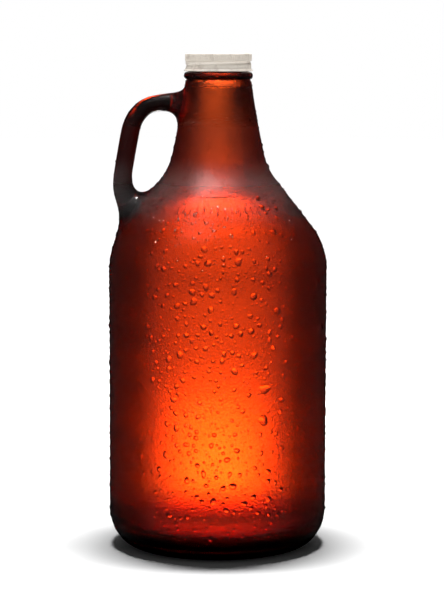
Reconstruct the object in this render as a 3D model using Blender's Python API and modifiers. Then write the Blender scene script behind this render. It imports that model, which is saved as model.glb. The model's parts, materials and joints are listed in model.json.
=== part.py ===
"""Half-gallon amber glass growler jug, filled with beer and shut with a metal screw cap.

Frame: +Z up, the jug stands on z = 0 with its body's axis on the Z axis, and the finger
handle is on the -X side. The front, with the fill line, faces -Y. Everything is at rest.

Nodes
    jug    one glass body: hollow jug, handle, neck bead, threaded finish, fill line,
           scale ticks and the largest drops of condensation, which are relief on it
    beer   the drink, one solid up to just under the neck bead
    cap    the shut screw cap, one thin metal shell
"""

import math
import random

import bmesh
import bpy
import numpy as np
from mathutils import Matrix, Vector

MM = 0.001

# Driving dimensions, in millimetres and degrees.
OVERALL_HEIGHT = 283.4
BODY_RADIUS = 62.5
WALL = 4.4
NECK_WALL = 3.6
TURN_STEPS = 48

HEEL_TOP = 21.6
BEARING_OUTER = 46.8
BEARING_INNER = 42.4
PUSH_UP = 5.0
FLOOR_TOP = 9.0

SHOULDER_START = 160.4
SHOULDER_ANGLE = 38.0
SHOULDER_ARC = 39.4
SLOPE_LENGTH = 34.3
FILLET_ARC = 35.4
NECK_FOOT_ANGLE = 12.5
NECK_ARC = 535.0
NECK_TOP_ANGLE = 8.0

BEAD_HEIGHT = 270.7
BEAD_CENTRE = 17.5
BEAD_ARC = 2.2
FINISH_RADIUS = 17.2
FINISH_TOP = 282.3
MOUTH_RADIUS = 13.6
THREAD_PITCH = 4.23
THREAD_CREST = 17.7

CAP_RADIUS = 19.05
CAP_TURNED = 18.75
CAP_WALL = 0.4
CAP_BOTTOM = 273.15
KNURL_BOTTOM = 279.0
KNURL_TOP = 282.7
KNURL_RIBS = 104
KNURL_DEPTH = 0.22
ROLL_FRONT_HEIGHT = 277.3
ROLL_DEPTH = 0.34
ROLL_HALF_WIDTH = 0.75

BEER_GAP = 0.35
BEER_LEVEL = 264.6
BEER_STEPS = 40

FILL_LINE_HEIGHT = 203.9
FILL_LINE_HALF_ANGLE = 9.5
SCALE_HEIGHT = 196.5
SCALE_TICKS = 13
SCALE_HALF_ANGLE = 30.0
RELIEF = 0.55

# The handle's centre line: distance from the axis toward -X, height and half width.
HANDLE_PATH = (
    (6.0, 258.6, 4.8),
    (18.0, 256.9, 4.8),
    (24.8, 256.2, 4.8),
    (30.6, 255.5, 4.75),
    (36.6, 254.5, 4.7),
    (41.5, 252.7, 4.75),
    (44.9, 249.9, 4.9),
    (47.6, 246.3, 5.05),
    (49.5, 241.8, 5.2),
    (50.8, 236.1, 5.3),
    (53.3, 222.3, 5.25),
    (54.9, 212.0, 5.2),
    (54.9, 206.0, 5.3),
    (53.6, 200.5, 5.3),
    (51.4, 194.5, 5.2),
    (48.6, 187.5, 5.0),
    (45.0, 179.0, 4.8),
)
HANDLE_DEPTH = 1.28
HANDLE_STEP = 4.4
# How far the glass runs out from the handle onto the wall, at its upper and lower root,
# on the side of the finger hole and on the outer side.
ROOT_UPPER = (13.0, 7.0)
ROOT_LOWER = (18.0, 13.0)

# The widest drops at the front: bearing from the front toward +X, height, radius and how
# much taller than wide each one is.
FRONT_DROPS = (
    (25.0, 99.0, 3.3, 0.85),
    (24.0, 81.5, 3.1, 0.95),
    (8.0, 45.0, 2.1, 1.05),
    (-2.0, 36.5, 1.8, 1.35),
    (5.0, 60.0, 2.0, 0.75),
    (19.0, 118.0, 1.9, 1.0),
    (-5.0, 169.0, 1.9, 1.1),
    (-13.0, 153.0, 1.9, 1.05),
    (-23.0, 93.0, 1.8, 1.05),
    (35.0, 92.0, 1.9, 0.9),
    (10.0, 65.0, 1.9, 0.8),
    (14.0, 35.0, 1.8, 0.95),
    (27.0, 52.0, 1.7, 1.2),
    (-16.0, 68.0, 1.8, 0.8),
    (-21.0, 145.0, 1.7, 1.0),
    (-34.0, 149.0, 1.6, 1.0),
)
DROP_SEED = 11
DROP_COUNT = 38
DROP_SIDES = 6


def clear_scene():
    for obj in list(bpy.data.objects):
        bpy.data.objects.remove(obj, do_unlink=True)


def new_collection(name):
    collection = bpy.data.collections.new(name)
    bpy.context.scene.collection.children.link(collection)
    return collection


def material(name, colour, roughness, metallic=0.0, transmission=0.0, ior=1.5):
    """A Principled BSDF with the part's plain colour, roughness and metallic value."""
    mat = bpy.data.materials.new(name)
    mat.use_nodes = True
    shader = mat.node_tree.nodes["Principled BSDF"]
    shader.inputs["Base Color"].default_value = (*colour, 1.0)
    shader.inputs["Roughness"].default_value = roughness
    shader.inputs["Metallic"].default_value = metallic
    shader.inputs["Transmission Weight"].default_value = transmission
    shader.inputs["IOR"].default_value = ior
    return mat


def add_object(name, mesh, collection, mat=None):
    obj = bpy.data.objects.new(name, mesh)
    collection.objects.link(obj)
    if mat is not None:
        mesh.materials.append(mat)
    return obj


def wall_chain(counts=(6, 3, 5, 4)):
    """Points (r, z, lean) up the outer wall from the shoulder's start to the neck bead.

    The wall leans inward by `lean` from the vertical: a convex arc, a straight slope, a
    concave fillet and a long shallow arc up the neck, each tangent to the next.
    """
    r, z, lean = BODY_RADIUS, SHOULDER_START, 0.0
    points = [(r, z, lean)]
    slope = math.radians(SHOULDER_ANGLE)
    foot = math.radians(NECK_FOOT_ANGLE)
    top = math.radians(NECK_TOP_ANGLE)
    parts = (
        (slope, SHOULDER_ARC, 1.0),
        (slope, SLOPE_LENGTH, 0.0),
        (foot, FILLET_ARC, -1.0),
        (top, NECK_ARC, -1.0),
    )
    for (end, size, turn), count in zip(parts, counts):
        for i in range(1, count + 1):
            if turn == 0.0:
                step = size * i / count
                point = (r - step * math.sin(lean), z + step * math.cos(lean), lean)
            else:
                now = lean + (end - lean) * i / count
                point = (
                    r - turn * size * (math.cos(lean) - math.cos(now)),
                    z + turn * size * (math.sin(now) - math.sin(lean)),
                    now,
                )
            points.append(point)
        r, z, lean = points[-1]
    return points


def ellipse_arc(r0, z0, wide, high, start, end, count):
    """Points (r, z) on an ellipse round (r0, z0), angles from the outward direction."""
    points = []
    for i in range(count + 1):
        angle = math.radians(start + (end - start) * i / count)
        points.append((r0 + wide * math.cos(angle), z0 + high * math.sin(angle)))
    return points


def outer_profile():
    """The jug's outside from the lip down to the centre of its push-up, as (r, z)."""
    points = [
        (0.0, FINISH_TOP),
        (FINISH_RADIUS - 1.0, FINISH_TOP),
        (FINISH_RADIUS - 0.1, FINISH_TOP - 0.9),
        (FINISH_RADIUS, BEAD_HEIGHT + BEAD_ARC),
    ]
    points += ellipse_arc(BEAD_CENTRE, BEAD_HEIGHT, BEAD_ARC, BEAD_ARC, 78.0, -78.0, 5)
    chain = wall_chain()
    points += [(r, z) for r, z, lean in reversed(chain)]
    points += ellipse_arc(
        BEARING_OUTER, HEEL_TOP, BODY_RADIUS - BEARING_OUTER, HEEL_TOP, 0.0, -90.0, 6
    )
    points += [
        (BEARING_INNER, 0.0),
        (BEARING_INNER - 5.0, 0.4 * PUSH_UP),
        (0.45 * BEARING_INNER, 0.85 * PUSH_UP),
        (0.0, PUSH_UP),
    ]
    return points


def wall_at(z):
    """The wall's thickness at a height: thinner up the neck."""
    share = (z - SHOULDER_START) / (BEAD_HEIGHT - SHOULDER_START)
    return WALL + (NECK_WALL - WALL) * min(1.0, max(0.0, share))


def inner_profile(inset, top, counts=(4, 1, 3, 2)):
    """The cavity's wall from `top` down to its floor, moved inward by `inset` more."""
    walls = []
    for r, z, lean in wall_chain(counts):
        gap = wall_at(z) + inset
        walls.append((r - gap * math.cos(lean), z - gap * math.sin(lean)))
    points = [(0.0, top)]
    if top > walls[-1][1] + 1.0:
        points += [
            (MOUTH_RADIUS - inset, top),
            (MOUTH_RADIUS - inset, BEAD_HEIGHT),
        ]
    else:
        below = [p for p in walls if p[1] < top]
        (r0, z0), (r1, z1) = below[-1], walls[len(below)]
        points.append((r0 + (r1 - r0) * (top - z0) / (z1 - z0), top))
        walls = below
    points += list(reversed(walls))
    reach = BODY_RADIUS - WALL - inset
    floor = FLOOR_TOP + inset
    points += ellipse_arc(reach - 16.0, floor + 15.5, 16.0, 15.5, 0.0, -90.0, 4)
    points.append((0.0, floor + 1.4))
    return points


def turned(name, profile, collection, steps=TURN_STEPS, mat=None):
    """A profile of (r, z) points turned round Z by a Screw modifier, as a mesh."""
    mesh = bpy.data.meshes.new(name + "_profile")
    verts = [(r * MM, 0.0, z * MM) for r, z in profile]
    mesh.from_pydata(verts, [(i, i + 1) for i in range(len(verts) - 1)], [])
    guide = add_object(name + "_turning", mesh, collection)
    screw = guide.modifiers.new("turn", "SCREW")
    screw.steps = steps
    screw.render_steps = steps
    screw.use_merge_vertices = True
    screw.merge_threshold = 0.00005
    screw.use_smooth_shade = True
    bpy.context.view_layer.update()
    graph = bpy.context.evaluated_depsgraph_get()
    solid = bpy.data.meshes.new_from_object(guide.evaluated_get(graph))
    bpy.data.objects.remove(guide, do_unlink=True)
    solid.name = name
    obj = add_object(name, solid, collection, mat)
    tidy(obj)
    return obj


def tidy(obj):
    """Welds coincident points and turns every face outward."""
    bm = bmesh.new()
    bm.from_mesh(obj.data)
    bmesh.ops.remove_doubles(bm, verts=bm.verts, dist=0.00002)
    bmesh.ops.recalc_face_normals(bm, faces=bm.faces)
    bm.to_mesh(obj.data)
    bm.free()


def curve_tube(name, points, widths, collection, resolution=2):
    """A curve with a bevel, its radius set at each point, turned into a closed mesh."""
    curve = bpy.data.curves.new(name + "_path", "CURVE")
    curve.dimensions = "3D"
    curve.bevel_depth = MM
    curve.bevel_resolution = resolution
    curve.use_fill_caps = True
    spline = curve.splines.new("POLY")
    spline.points.add(len(points) - 1)
    for knot, place, width in zip(spline.points, points, widths):
        knot.co = (place[0] * MM, place[1] * MM, place[2] * MM, 1.0)
        knot.radius = width
    guide = add_object(name + "_path", curve, collection)
    bpy.context.view_layer.update()
    graph = bpy.context.evaluated_depsgraph_get()
    mesh = bpy.data.meshes.new_from_object(guide.evaluated_get(graph))
    world = guide.matrix_world.copy()
    bpy.data.objects.remove(guide, do_unlink=True)
    obj = add_object(name, mesh, collection)
    obj.matrix_world = world
    tidy(obj)
    return obj


def smooth_path(points, step):
    """The rows of `points` read about every `step` mm along a Catmull-Rom curve."""
    rows = np.array(points, float)
    padded = np.vstack([2 * rows[0] - rows[1], rows, 2 * rows[-1] - rows[-2]])
    found = [rows[0]]
    for p0, p1, p2, p3 in zip(padded, padded[1:], padded[2:], padded[3:]):
        count = max(1, round(float(np.hypot(*(p2 - p1)[:2])) / step))
        for i in range(1, count + 1):
            t = i / count
            found.append(
                0.5
                * (
                    2 * p1
                    + (p2 - p0) * t
                    + (2 * p0 - 5 * p1 + 4 * p2 - p3) * t * t
                    + (3 * p1 - p0 - 3 * p2 + p3) * t**3
                )
            )
    return np.array(found)


def handle_tube(collection):
    """The finger handle: a rod a little deeper than it is wide, its ends inside the body."""
    path = smooth_path(HANDLE_PATH, HANDLE_STEP)
    centres = [(-d, 0.0, z) for d, z, _ in path]
    obj = curve_tube("handle", centres, list(path[:, 2]), collection, resolution=4)
    for vert in obj.data.vertices:
        vert.co.y *= HANDLE_DEPTH
    return obj


def wall_distance(points):
    """How far points (n, 3) in mm are outside the plain outer wall, near the handle."""
    chain = np.array(wall_chain((24, 2, 16, 16)))
    reach = np.hypot(points[:, 0], points[:, 1])
    radius = np.interp(points[:, 2], chain[:, 1], chain[:, 0])
    lean = np.interp(points[:, 2], chain[:, 1], chain[:, 2])
    return (reach - radius) * np.cos(lean)


def rod_distance(points):
    """How far points are outside the handle's rod, and on which side of it, -1 to 1."""
    path = smooth_path(HANDLE_PATH, 1.0)
    start, along = path[:-1], np.diff(path, axis=0)
    length = np.hypot(along[:, 0], along[:, 1])
    flat = np.stack([-points[:, 0], points[:, 2]], axis=1)
    offset = flat[:, None, :] - start[None, :, :2]
    share = (offset * along[None, :, :2]).sum(2) / length**2
    share = np.clip(share, 0.0, 1.0)
    gap = offset - share[..., None] * along[None, :, :2]
    away = np.hypot(gap[..., 0], gap[..., 1])
    best = away.argmin(axis=1)
    rows = np.arange(len(points))
    gap, away, share = gap[rows, best], away[rows, best], share[rows, best]
    tangent = along[best, :2] / length[best, None]
    side = tangent[:, 0] * gap[:, 1] - tangent[:, 1] * gap[:, 0]
    half = start[best, 2] + share * along[best, 2]
    deep = half * HANDLE_DEPTH
    reach = np.hypot(away / half, points[:, 1] / deep)
    slope = np.hypot(away / half**2, points[:, 1] / deep**2) / np.maximum(reach, 1e-6)
    return (reach - 1.0) / np.maximum(slope, 1e-6), np.clip(side / half, -1.0, 1.0)


def blended_distance(points):
    """The distance to the wall and the rod run smoothly into each other."""
    wall = wall_distance(points)
    rod, side = rod_distance(points)
    height = np.clip((points[:, 2] - 212.0) / 28.0, 0.0, 1.0)
    outer = (side + 1.0) / 2.0
    lower = ROOT_LOWER[0] + (ROOT_LOWER[1] - ROOT_LOWER[0]) * outer
    upper = ROOT_UPPER[0] + (ROOT_UPPER[1] - ROOT_UPPER[0]) * outer
    run = lower + (upper - lower) * height
    share = np.maximum(run - np.abs(wall - rod), 0.0) / run
    return np.minimum(wall, rod) - share**2 * run / 4.0


def blend_roots(obj, longest):
    """Fills the crease round the handle's roots: cuts the long edges near it, then moves
    each vertex there out onto the blended surface."""
    bm = bmesh.new()
    bm.from_mesh(obj.data)

    def near(vert):
        place = np.array([vert.co[:]]) / MM
        return rod_distance(place)[0][0] < 17.0 and wall_distance(place)[0] < 16.0

    for _ in range(2):
        inside = {vert for vert in bm.verts if vert.co.x < 0.0 and 165.0 * MM < vert.co.z < 268.0 * MM and near(vert)}
        edges = [
            edge
            for edge in bm.edges
            if (edge.verts[0] in inside or edge.verts[1] in inside) and edge.calc_length() > longest * MM
        ]
        if not edges:
            break
        bmesh.ops.subdivide_edges(bm, edges=edges, cuts=1, use_grid_fill=True)
        bmesh.ops.triangulate(bm, faces=[face for face in bm.faces if len(face.verts) > 4])
    moving = [v for v in bm.verts if v.co.x < 0.0 and 160.0 * MM < v.co.z < (BEAD_HEIGHT - BEAD_ARC) * MM]
    points = np.array([v.co[:] for v in moving]) / MM
    for _ in range(6):
        value = blended_distance(points)
        slope = np.stack(
            [
                (blended_distance(points + step) - blended_distance(points - step)) / 0.1
                for step in np.eye(3) * 0.05
            ],
            axis=1,
        )
        outward = np.maximum(-value, 0.0) / np.maximum((slope**2).sum(1), 0.25)
        points += outward[:, None] * slope
    for vert, place in zip(moving, points):
        if (place - np.array(vert.co[:]) / MM).any():
            vert.co = place * MM
    bmesh.ops.triangulate(bm, faces=bm.faces)
    bm.to_mesh(obj.data)
    bm.free()


def thread_tube(collection):
    """The finish's thread: one turn and a little more of a low round ridge."""
    points, widths = [], []
    count = 28
    for i in range(count + 1):
        share = i / count
        angle = math.radians(-120.0 + 400.0 * share)
        height = BEAD_HEIGHT + 5.0 + THREAD_PITCH * 400.0 / 360.0 * share
        fade = min(1.0, 6.0 * share, 6.0 * (1.0 - share))
        width = 0.45 + 0.35 * fade
        reach = THREAD_CREST - 0.8 - 0.35 * (1.0 - fade)
        points.append((reach * math.cos(angle), reach * math.sin(angle), height))
        widths.append(width)
    return curve_tube("thread", points, widths, collection, resolution=1)


def outside_at(z):
    """The outer wall's radius and inward lean at a height, with no drops on it."""
    if z <= HEEL_TOP:
        down = (HEEL_TOP - z) / HEEL_TOP
        wide = BODY_RADIUS - BEARING_OUTER
        across = math.sqrt(max(0.0, 1.0 - down * down))
        slope = wide / HEEL_TOP * down / max(across, 0.05)
        return BEARING_OUTER + wide * across, -math.atan(slope)
    if z <= SHOULDER_START:
        return BODY_RADIUS, 0.0
    chain = wall_chain((24, 2, 16, 16))
    for (r0, z0, a0), (r1, z1, a1) in zip(chain, chain[1:]):
        if z <= z1:
            share = (z - z0) / (z1 - z0)
            return r0 + (r1 - r0) * share, a0 + (a1 - a0) * share
    return chain[-1][0], chain[-1][2]


def on_wall(bearing, z):
    """A frame on the outer wall: origin on it, its Z axis outward and its Y axis up it."""
    r, lean = outside_at(z)
    around = math.radians(bearing)
    out = Vector((math.sin(around), -math.cos(around), 0.0))
    normal = out * math.cos(lean) + Vector((0.0, 0.0, math.sin(lean)))
    side = Vector((math.cos(around), math.sin(around), 0.0))
    up = normal.cross(side)
    frame = Matrix((side, up, normal)).transposed().to_4x4()
    frame.translation = (out * r + Vector((0.0, 0.0, z))) * MM
    return frame


def add_dome(bearing, z, radius, tall, collection, sides=DROP_SIDES):
    """One drop on the wall: a low dome with its skirt sunk in the glass."""
    bm = bmesh.new()
    frame = on_wall(bearing, z)
    rings = ((-0.9, 1.0), (0.12, 0.98), (0.46, 0.62))
    loops = []
    for rise, reach in rings:
        height = rise if rise < 0 else rise * radius
        loop = []
        for i in range(sides):
            angle = math.tau * (i + 0.5) / sides
            sag = 0.92 if math.sin(angle) > 0 else 1.08
            place = Vector(
                (
                    reach * radius * math.cos(angle),
                    reach * radius * tall * sag * math.sin(angle),
                    height,
                )
            )
            loop.append(bm.verts.new(frame @ (place * MM)))
        loops.append(loop)
    for low, high in zip(loops, loops[1:]):
        for i in range(sides):
            j = (i + 1) % sides
            bm.faces.new((low[i], low[j], high[j], high[i]))
    bm.faces.new(list(reversed(loops[0])))
    bm.faces.new(loops[-1])
    mesh = bpy.data.meshes.new("drop")
    bmesh.ops.recalc_face_normals(bm, faces=bm.faces)
    bm.to_mesh(mesh)
    bm.free()
    return add_object("drop", mesh, collection)


def handle_clear(bearing, z, radius):
    """Whether a drop stays clear of the handle's roots."""
    at_side = abs((bearing + 90.0 + 180.0) % 360.0 - 180.0)
    if 165.0 < z < 212.0 and at_side < 32.0 + radius:
        return False
    return not (z >= 212.0)


def scatter_drops():
    """Drops (bearing, z, radius, tall), the widest first, no two of them touching."""
    draw = random.Random(DROP_SEED)
    placed = [tuple(drop) for drop in FRONT_DROPS]
    sizes = sorted((1.25 + 0.95 * draw.random() ** 2.2 for _ in range(DROP_COUNT)), reverse=True)
    for radius in sizes:
        for _ in range(200):
            bearing = draw.uniform(-180.0, 180.0)
            z = draw.uniform(24.0, 192.0)
            if abs(bearing) < 40.0 and draw.random() < 0.45:
                continue
            if abs(bearing) < 42.0 and z > 186.0:
                continue
            reach = outside_at(z)[0]
            clear = handle_clear(bearing, z, radius)
            for other in placed:
                turn = (bearing - other[0] + 180.0) % 360.0 - 180.0
                across = math.radians(turn) * reach
                if math.hypot(across, z - other[1]) < radius + 1.4 * other[2] + 2.0:
                    clear = False
                    break
            if clear:
                placed.append((bearing, z, radius, draw.uniform(0.9, 1.3)))
                break
    return placed


def add_bar(bearing_from, bearing_to, z_low, z_high, steps, collection):
    """A raised bar that follows the wall, between two bearings and two heights."""
    bm = bmesh.new()
    sections = []
    for i in range(steps + 1):
        bearing = bearing_from + (bearing_to - bearing_from) * i / steps
        section = []
        for z, rise, inset in (
            (z_low, -1.0, 0.0),
            (z_high, -1.0, 0.0),
            (z_high, RELIEF, -0.25),
            (z_low, RELIEF, 0.25),
        ):
            frame = on_wall(bearing, z)
            section.append(bm.verts.new(frame @ (Vector((0.0, inset, rise)) * MM)))
        sections.append(section)
    for a, b in zip(sections, sections[1:]):
        for i in range(4):
            j = (i + 1) % 4
            bm.faces.new((a[i], a[j], b[j], b[i]))
    bm.faces.new(sections[0])
    bm.faces.new(list(reversed(sections[-1])))
    mesh = bpy.data.meshes.new("bar")
    bmesh.ops.recalc_face_normals(bm, faces=bm.faces)
    bm.to_mesh(mesh)
    bm.free()
    return add_object("bar", mesh, collection)


def add_shoulder_scale(collection):
    """The fill line, and under it a row of plain ticks, every third one taller."""
    add_bar(
        -FILL_LINE_HALF_ANGLE,
        FILL_LINE_HALF_ANGLE,
        FILL_LINE_HEIGHT - 0.55,
        FILL_LINE_HEIGHT + 0.55,
        4,
        collection,
    )
    for i in range(SCALE_TICKS):
        bearing = -SCALE_HALF_ANGLE + 2.0 * SCALE_HALF_ANGLE * i / (SCALE_TICKS - 1)
        half = 2.7 if i % 3 == 0 else 1.7
        wide = 0.75
        add_bar(bearing - wide, bearing + wide, SCALE_HEIGHT - half, SCALE_HEIGHT + half, 1, collection)


def boolean(obj, operation, other=None, collection=None, solver="EXACT"):
    """Applies one Boolean to `obj` and returns it."""
    modifier = obj.modifiers.new(operation.lower(), "BOOLEAN")
    modifier.operation = operation
    modifier.solver = solver
    if collection is not None:
        modifier.operand_type = "COLLECTION"
        modifier.collection = collection
    else:
        modifier.object = other
    bpy.context.view_layer.update()
    graph = bpy.context.evaluated_depsgraph_get()
    mesh = bpy.data.meshes.new_from_object(obj.evaluated_get(graph))
    obj.modifiers.clear()
    obj.data = mesh
    return obj


def empty_collection(collection):
    for obj in list(collection.objects):
        bpy.data.objects.remove(obj, do_unlink=True)


def round_shading(obj, angle=40.0):
    obj.data.shade_smooth()
    obj.data.set_sharp_from_angle(angle=math.radians(angle))


def make_jug(parts, cutters, mat):
    """The glass: the turned body with what is fused to it, less its cavity."""
    jug = turned("jug", outer_profile(), parts, mat=mat)
    handle = handle_tube(cutters)
    boolean(jug, "UNION", other=handle, solver="MANIFOLD")
    bpy.data.objects.remove(handle, do_unlink=True)
    blend_roots(jug, 5.0)
    fused = new_collection("fused_to_jug")
    thread_tube(fused)
    add_shoulder_scale(fused)
    for bearing, z, radius, tall in scatter_drops():
        add_dome(bearing, z, radius, tall, fused)
    boolean(jug, "UNION", collection=fused, solver="MANIFOLD")
    empty_collection(fused)
    bpy.data.collections.remove(fused)
    cavity = turned("cavity", inner_profile(0.0, FINISH_TOP + 4.0), cutters)
    cavity.hide_render = True
    cavity.display_type = "WIRE"
    boolean(jug, "DIFFERENCE", other=cavity, solver="MANIFOLD")
    round_shading(jug, 34.0)
    return jug


def make_beer(parts, mat):
    """The drink, clear of the glass by BEER_GAP, up to its level in the neck."""
    beer = turned("beer", inner_profile(BEER_GAP, BEER_LEVEL), parts, BEER_STEPS, mat)
    round_shading(beer, 50.0)
    return beer


def roll_at(angle, z):
    """How far the rolled thread draws the cap's wall inward, at an angle from +X."""
    turn = math.degrees(angle)
    depth = 0.0
    for lap in (-360.0, 0.0, 360.0):
        along = turn + lap
        if not -255.0 <= along <= 75.0:
            continue
        height = ROLL_FRONT_HEIGHT + THREAD_PITCH * (along + 90.0) / 360.0
        fade = min(1.0, (along + 255.0) / 40.0, (75.0 - along) / 40.0)
        away = (z - height) / ROLL_HALF_WIDTH
        depth = max(depth, fade * ROLL_DEPTH * math.exp(-away * away))
    return depth


def cap_profile(inset):
    """The cap's rolled lower part, from the axis out, down and back to the axis."""
    points = [(0.0, KNURL_BOTTOM + 0.9)]
    rows = 8
    low, high = CAP_BOTTOM + 1.5, KNURL_BOTTOM + 0.9
    for i in range(rows):
        points.append((CAP_TURNED - inset, high + (low - high) * i / (rows - 1)))
    if inset == 0.0:
        points += [
            (CAP_TURNED + 0.55, CAP_BOTTOM + 0.95),
            (CAP_TURNED + 0.9, CAP_BOTTOM + 0.45),
            (CAP_TURNED + 0.75, CAP_BOTTOM + 0.05),
            (CAP_TURNED + 0.35, CAP_BOTTOM),
            (0.0, CAP_BOTTOM),
        ]
    else:
        points += [(CAP_TURNED - inset, CAP_BOTTOM - 1.0), (0.0, CAP_BOTTOM - 1.0)]
    return points


def draw_in(obj):
    """Moves a turned piece's wall inward along the rolled thread."""
    for vert in obj.data.vertices:
        reach = math.hypot(vert.co.x, vert.co.y)
        if reach < 10.0 * MM:
            continue
        depth = roll_at(math.atan2(vert.co.y, vert.co.x), vert.co.z / MM) * MM
        vert.co.x *= (reach - depth) / reach
        vert.co.y *= (reach - depth) / reach
    return obj


def knurled_disc(collection):
    """The cap's top: a disc whose side is ribbed, with a small rounded upper edge."""
    bm = bmesh.new()
    count = 2 * KNURL_RIBS
    made = bmesh.ops.create_circle(bm, cap_ends=True, segments=count, radius=CAP_RADIUS * MM)
    for vert in made["verts"]:
        vert.co.z = KNURL_BOTTOM * MM
        step = round(math.atan2(vert.co.y, vert.co.x) / math.tau * count)
        if step % 2:
            vert.co.xy *= (CAP_RADIUS - KNURL_DEPTH) / CAP_RADIUS
    face = bm.faces[:]
    for height, reach in ((KNURL_TOP, 1.0), (OVERALL_HEIGHT, 0.965)):
        out = bmesh.ops.extrude_face_region(bm, geom=face)["geom"]
        ring = [item for item in out if isinstance(item, bmesh.types.BMVert)]
        if len(bm.faces) > count + 2:
            bmesh.ops.delete(bm, geom=face, context="FACES_ONLY")
        for vert in ring:
            vert.co.xy *= reach
            vert.co.z = height * MM
        face = [item for item in out if isinstance(item, bmesh.types.BMFace)]
    bmesh.ops.recalc_face_normals(bm, faces=bm.faces)
    mesh = bpy.data.meshes.new("knurled_disc")
    bm.to_mesh(mesh)
    bm.free()
    return add_object("knurled_disc", mesh, collection)


def make_cap(parts, cutters, mat):
    """The screw cap: ribbed top, rolled thread, curled lower edge and a hollow inside."""
    cap = draw_in(turned("cap", cap_profile(0.0), parts, 48, mat))
    disc = knurled_disc(parts)
    boolean(cap, "UNION", other=disc, solver="MANIFOLD")
    bpy.data.objects.remove(disc, do_unlink=True)
    hollow = draw_in(turned("cap_hollow", cap_profile(CAP_WALL), cutters, 48))
    hollow.hide_render = True
    hollow.display_type = "WIRE"
    boolean(cap, "DIFFERENCE", other=hollow, solver="MANIFOLD")
    well = turned(
        "cap_well",
        [
            (0.0, OVERALL_HEIGHT - 0.6),
            (CAP_TURNED - 0.9, OVERALL_HEIGHT - 0.6),
            (CAP_TURNED - CAP_WALL - 0.1, OVERALL_HEIGHT - 1.4),
            (CAP_TURNED - CAP_WALL - 0.1, KNURL_BOTTOM - 1.0),
            (0.0, KNURL_BOTTOM - 1.0),
        ],
        cutters,
        48,
    )
    well.hide_render = True
    well.display_type = "WIRE"
    boolean(cap, "DIFFERENCE", other=well, solver="MANIFOLD")
    round_shading(cap, 30.0)
    return cap


def main():
    clear_scene()
    parts = new_collection("growler_jug")
    cutters = new_collection("cutters")
    amber = material("amber_glass", (0.28, 0.06, 0.01), 0.22, transmission=1.0, ior=1.52)
    drink = material("beer", (0.55, 0.19, 0.03), 0.05, transmission=0.9, ior=1.34)
    tinplate = material("lacquered_tinplate", (0.72, 0.68, 0.61), 0.42, metallic=0.3)
    make_jug(parts, cutters, amber)
    make_beer(parts, drink)
    make_cap(parts, cutters, tinplate)


main()
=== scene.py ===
"""Looks of a misted half-gallon amber growler jug, filled with beer and shut with a cap.

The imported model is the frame. The glass, the beer and the cap replace their CAD solids
with finer ones of the same form, and the condensation is added on the glass. All sizes
are in millimetres in the classes and in metres in the meshes. The jug stands on z = 0,
its axis is the Z axis, the handle is on the -X side and the fill line faces -Y.
"""

import json
import logging
import math
from dataclasses import dataclass
from enum import Enum
from typing import Any, ClassVar, Sequence

import bmesh
import bpy
import numpy as np
from mathutils import Euler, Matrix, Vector

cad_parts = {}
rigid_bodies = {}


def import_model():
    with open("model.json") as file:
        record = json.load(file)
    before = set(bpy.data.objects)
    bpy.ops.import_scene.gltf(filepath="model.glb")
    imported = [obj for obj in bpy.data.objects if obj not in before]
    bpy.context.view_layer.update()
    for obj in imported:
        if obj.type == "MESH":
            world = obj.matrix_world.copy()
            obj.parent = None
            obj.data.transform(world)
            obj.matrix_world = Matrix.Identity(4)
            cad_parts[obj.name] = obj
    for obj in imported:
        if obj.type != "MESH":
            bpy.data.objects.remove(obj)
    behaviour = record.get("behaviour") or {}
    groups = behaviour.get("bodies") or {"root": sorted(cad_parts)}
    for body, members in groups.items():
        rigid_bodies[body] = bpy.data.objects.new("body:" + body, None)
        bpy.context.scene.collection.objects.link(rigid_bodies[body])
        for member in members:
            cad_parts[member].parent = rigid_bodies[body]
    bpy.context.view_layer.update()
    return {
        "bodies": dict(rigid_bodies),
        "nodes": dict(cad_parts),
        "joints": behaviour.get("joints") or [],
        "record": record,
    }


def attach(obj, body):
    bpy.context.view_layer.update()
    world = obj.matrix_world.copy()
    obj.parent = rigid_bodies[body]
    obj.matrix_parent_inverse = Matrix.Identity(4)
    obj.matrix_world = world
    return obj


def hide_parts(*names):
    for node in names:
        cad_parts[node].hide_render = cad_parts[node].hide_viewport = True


MM = 0.001
LOG = logging.getLogger("growler")

# A band's start and end along a measure, and the level after it.
Bands = Sequence[tuple]


class Slot(Enum):
    """The record's slots for the finishes of the glass, the beer and the cap."""

    AMBER_GLASS = "amber_glass"
    BEER = "beer"
    LACQUERED_TINPLATE = "lacquered_tinplate"


class Merge(Enum):
    """What becomes of a second solid."""

    JOIN = "UNION"
    CUT = "DIFFERENCE"


# Node and colour helpers


def linear(hex_colour: str) -> tuple[float, float, float, float]:
    """Turns an sRGB hex colour into linear RGBA.

    Args:
        hex_colour: Six hex digits, with or without a leading #.

    Returns:
        The linear colour with alpha 1.
    """
    digits = hex_colour.lstrip("#")
    channels = [int(digits[i : i + 2], 16) / 255.0 for i in (0, 2, 4)]
    red, green, blue = (c / 12.92 if c <= 0.04045 else ((c + 0.055) / 1.055) ** 2.4 for c in channels)
    return red, green, blue, 1.0


WHITE = linear("#ffffff")
BLACK = linear("#000000")


def add_node(
    tree: bpy.types.NodeTree, kind: str, links: dict | None = None, **settings: Any
) -> bpy.types.Node:
    """Adds a shader node with its settings, socket values and incoming links.

    Args:
        tree: The node tree to add to.
        kind: The node's type name.
        links: Input socket name or index to a value or to an output socket.
        **settings: Attributes set on the node itself.

    Returns:
        The new node.
    """
    node = tree.nodes.new(kind)
    for name, value in settings.items():
        setattr(node, name, value)
    for key, value in (links or {}).items():
        socket = node.inputs[key]
        if isinstance(value, bpy.types.NodeSocket):
            tree.links.new(value, socket)
        else:
            socket.default_value = value
    return node


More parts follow.
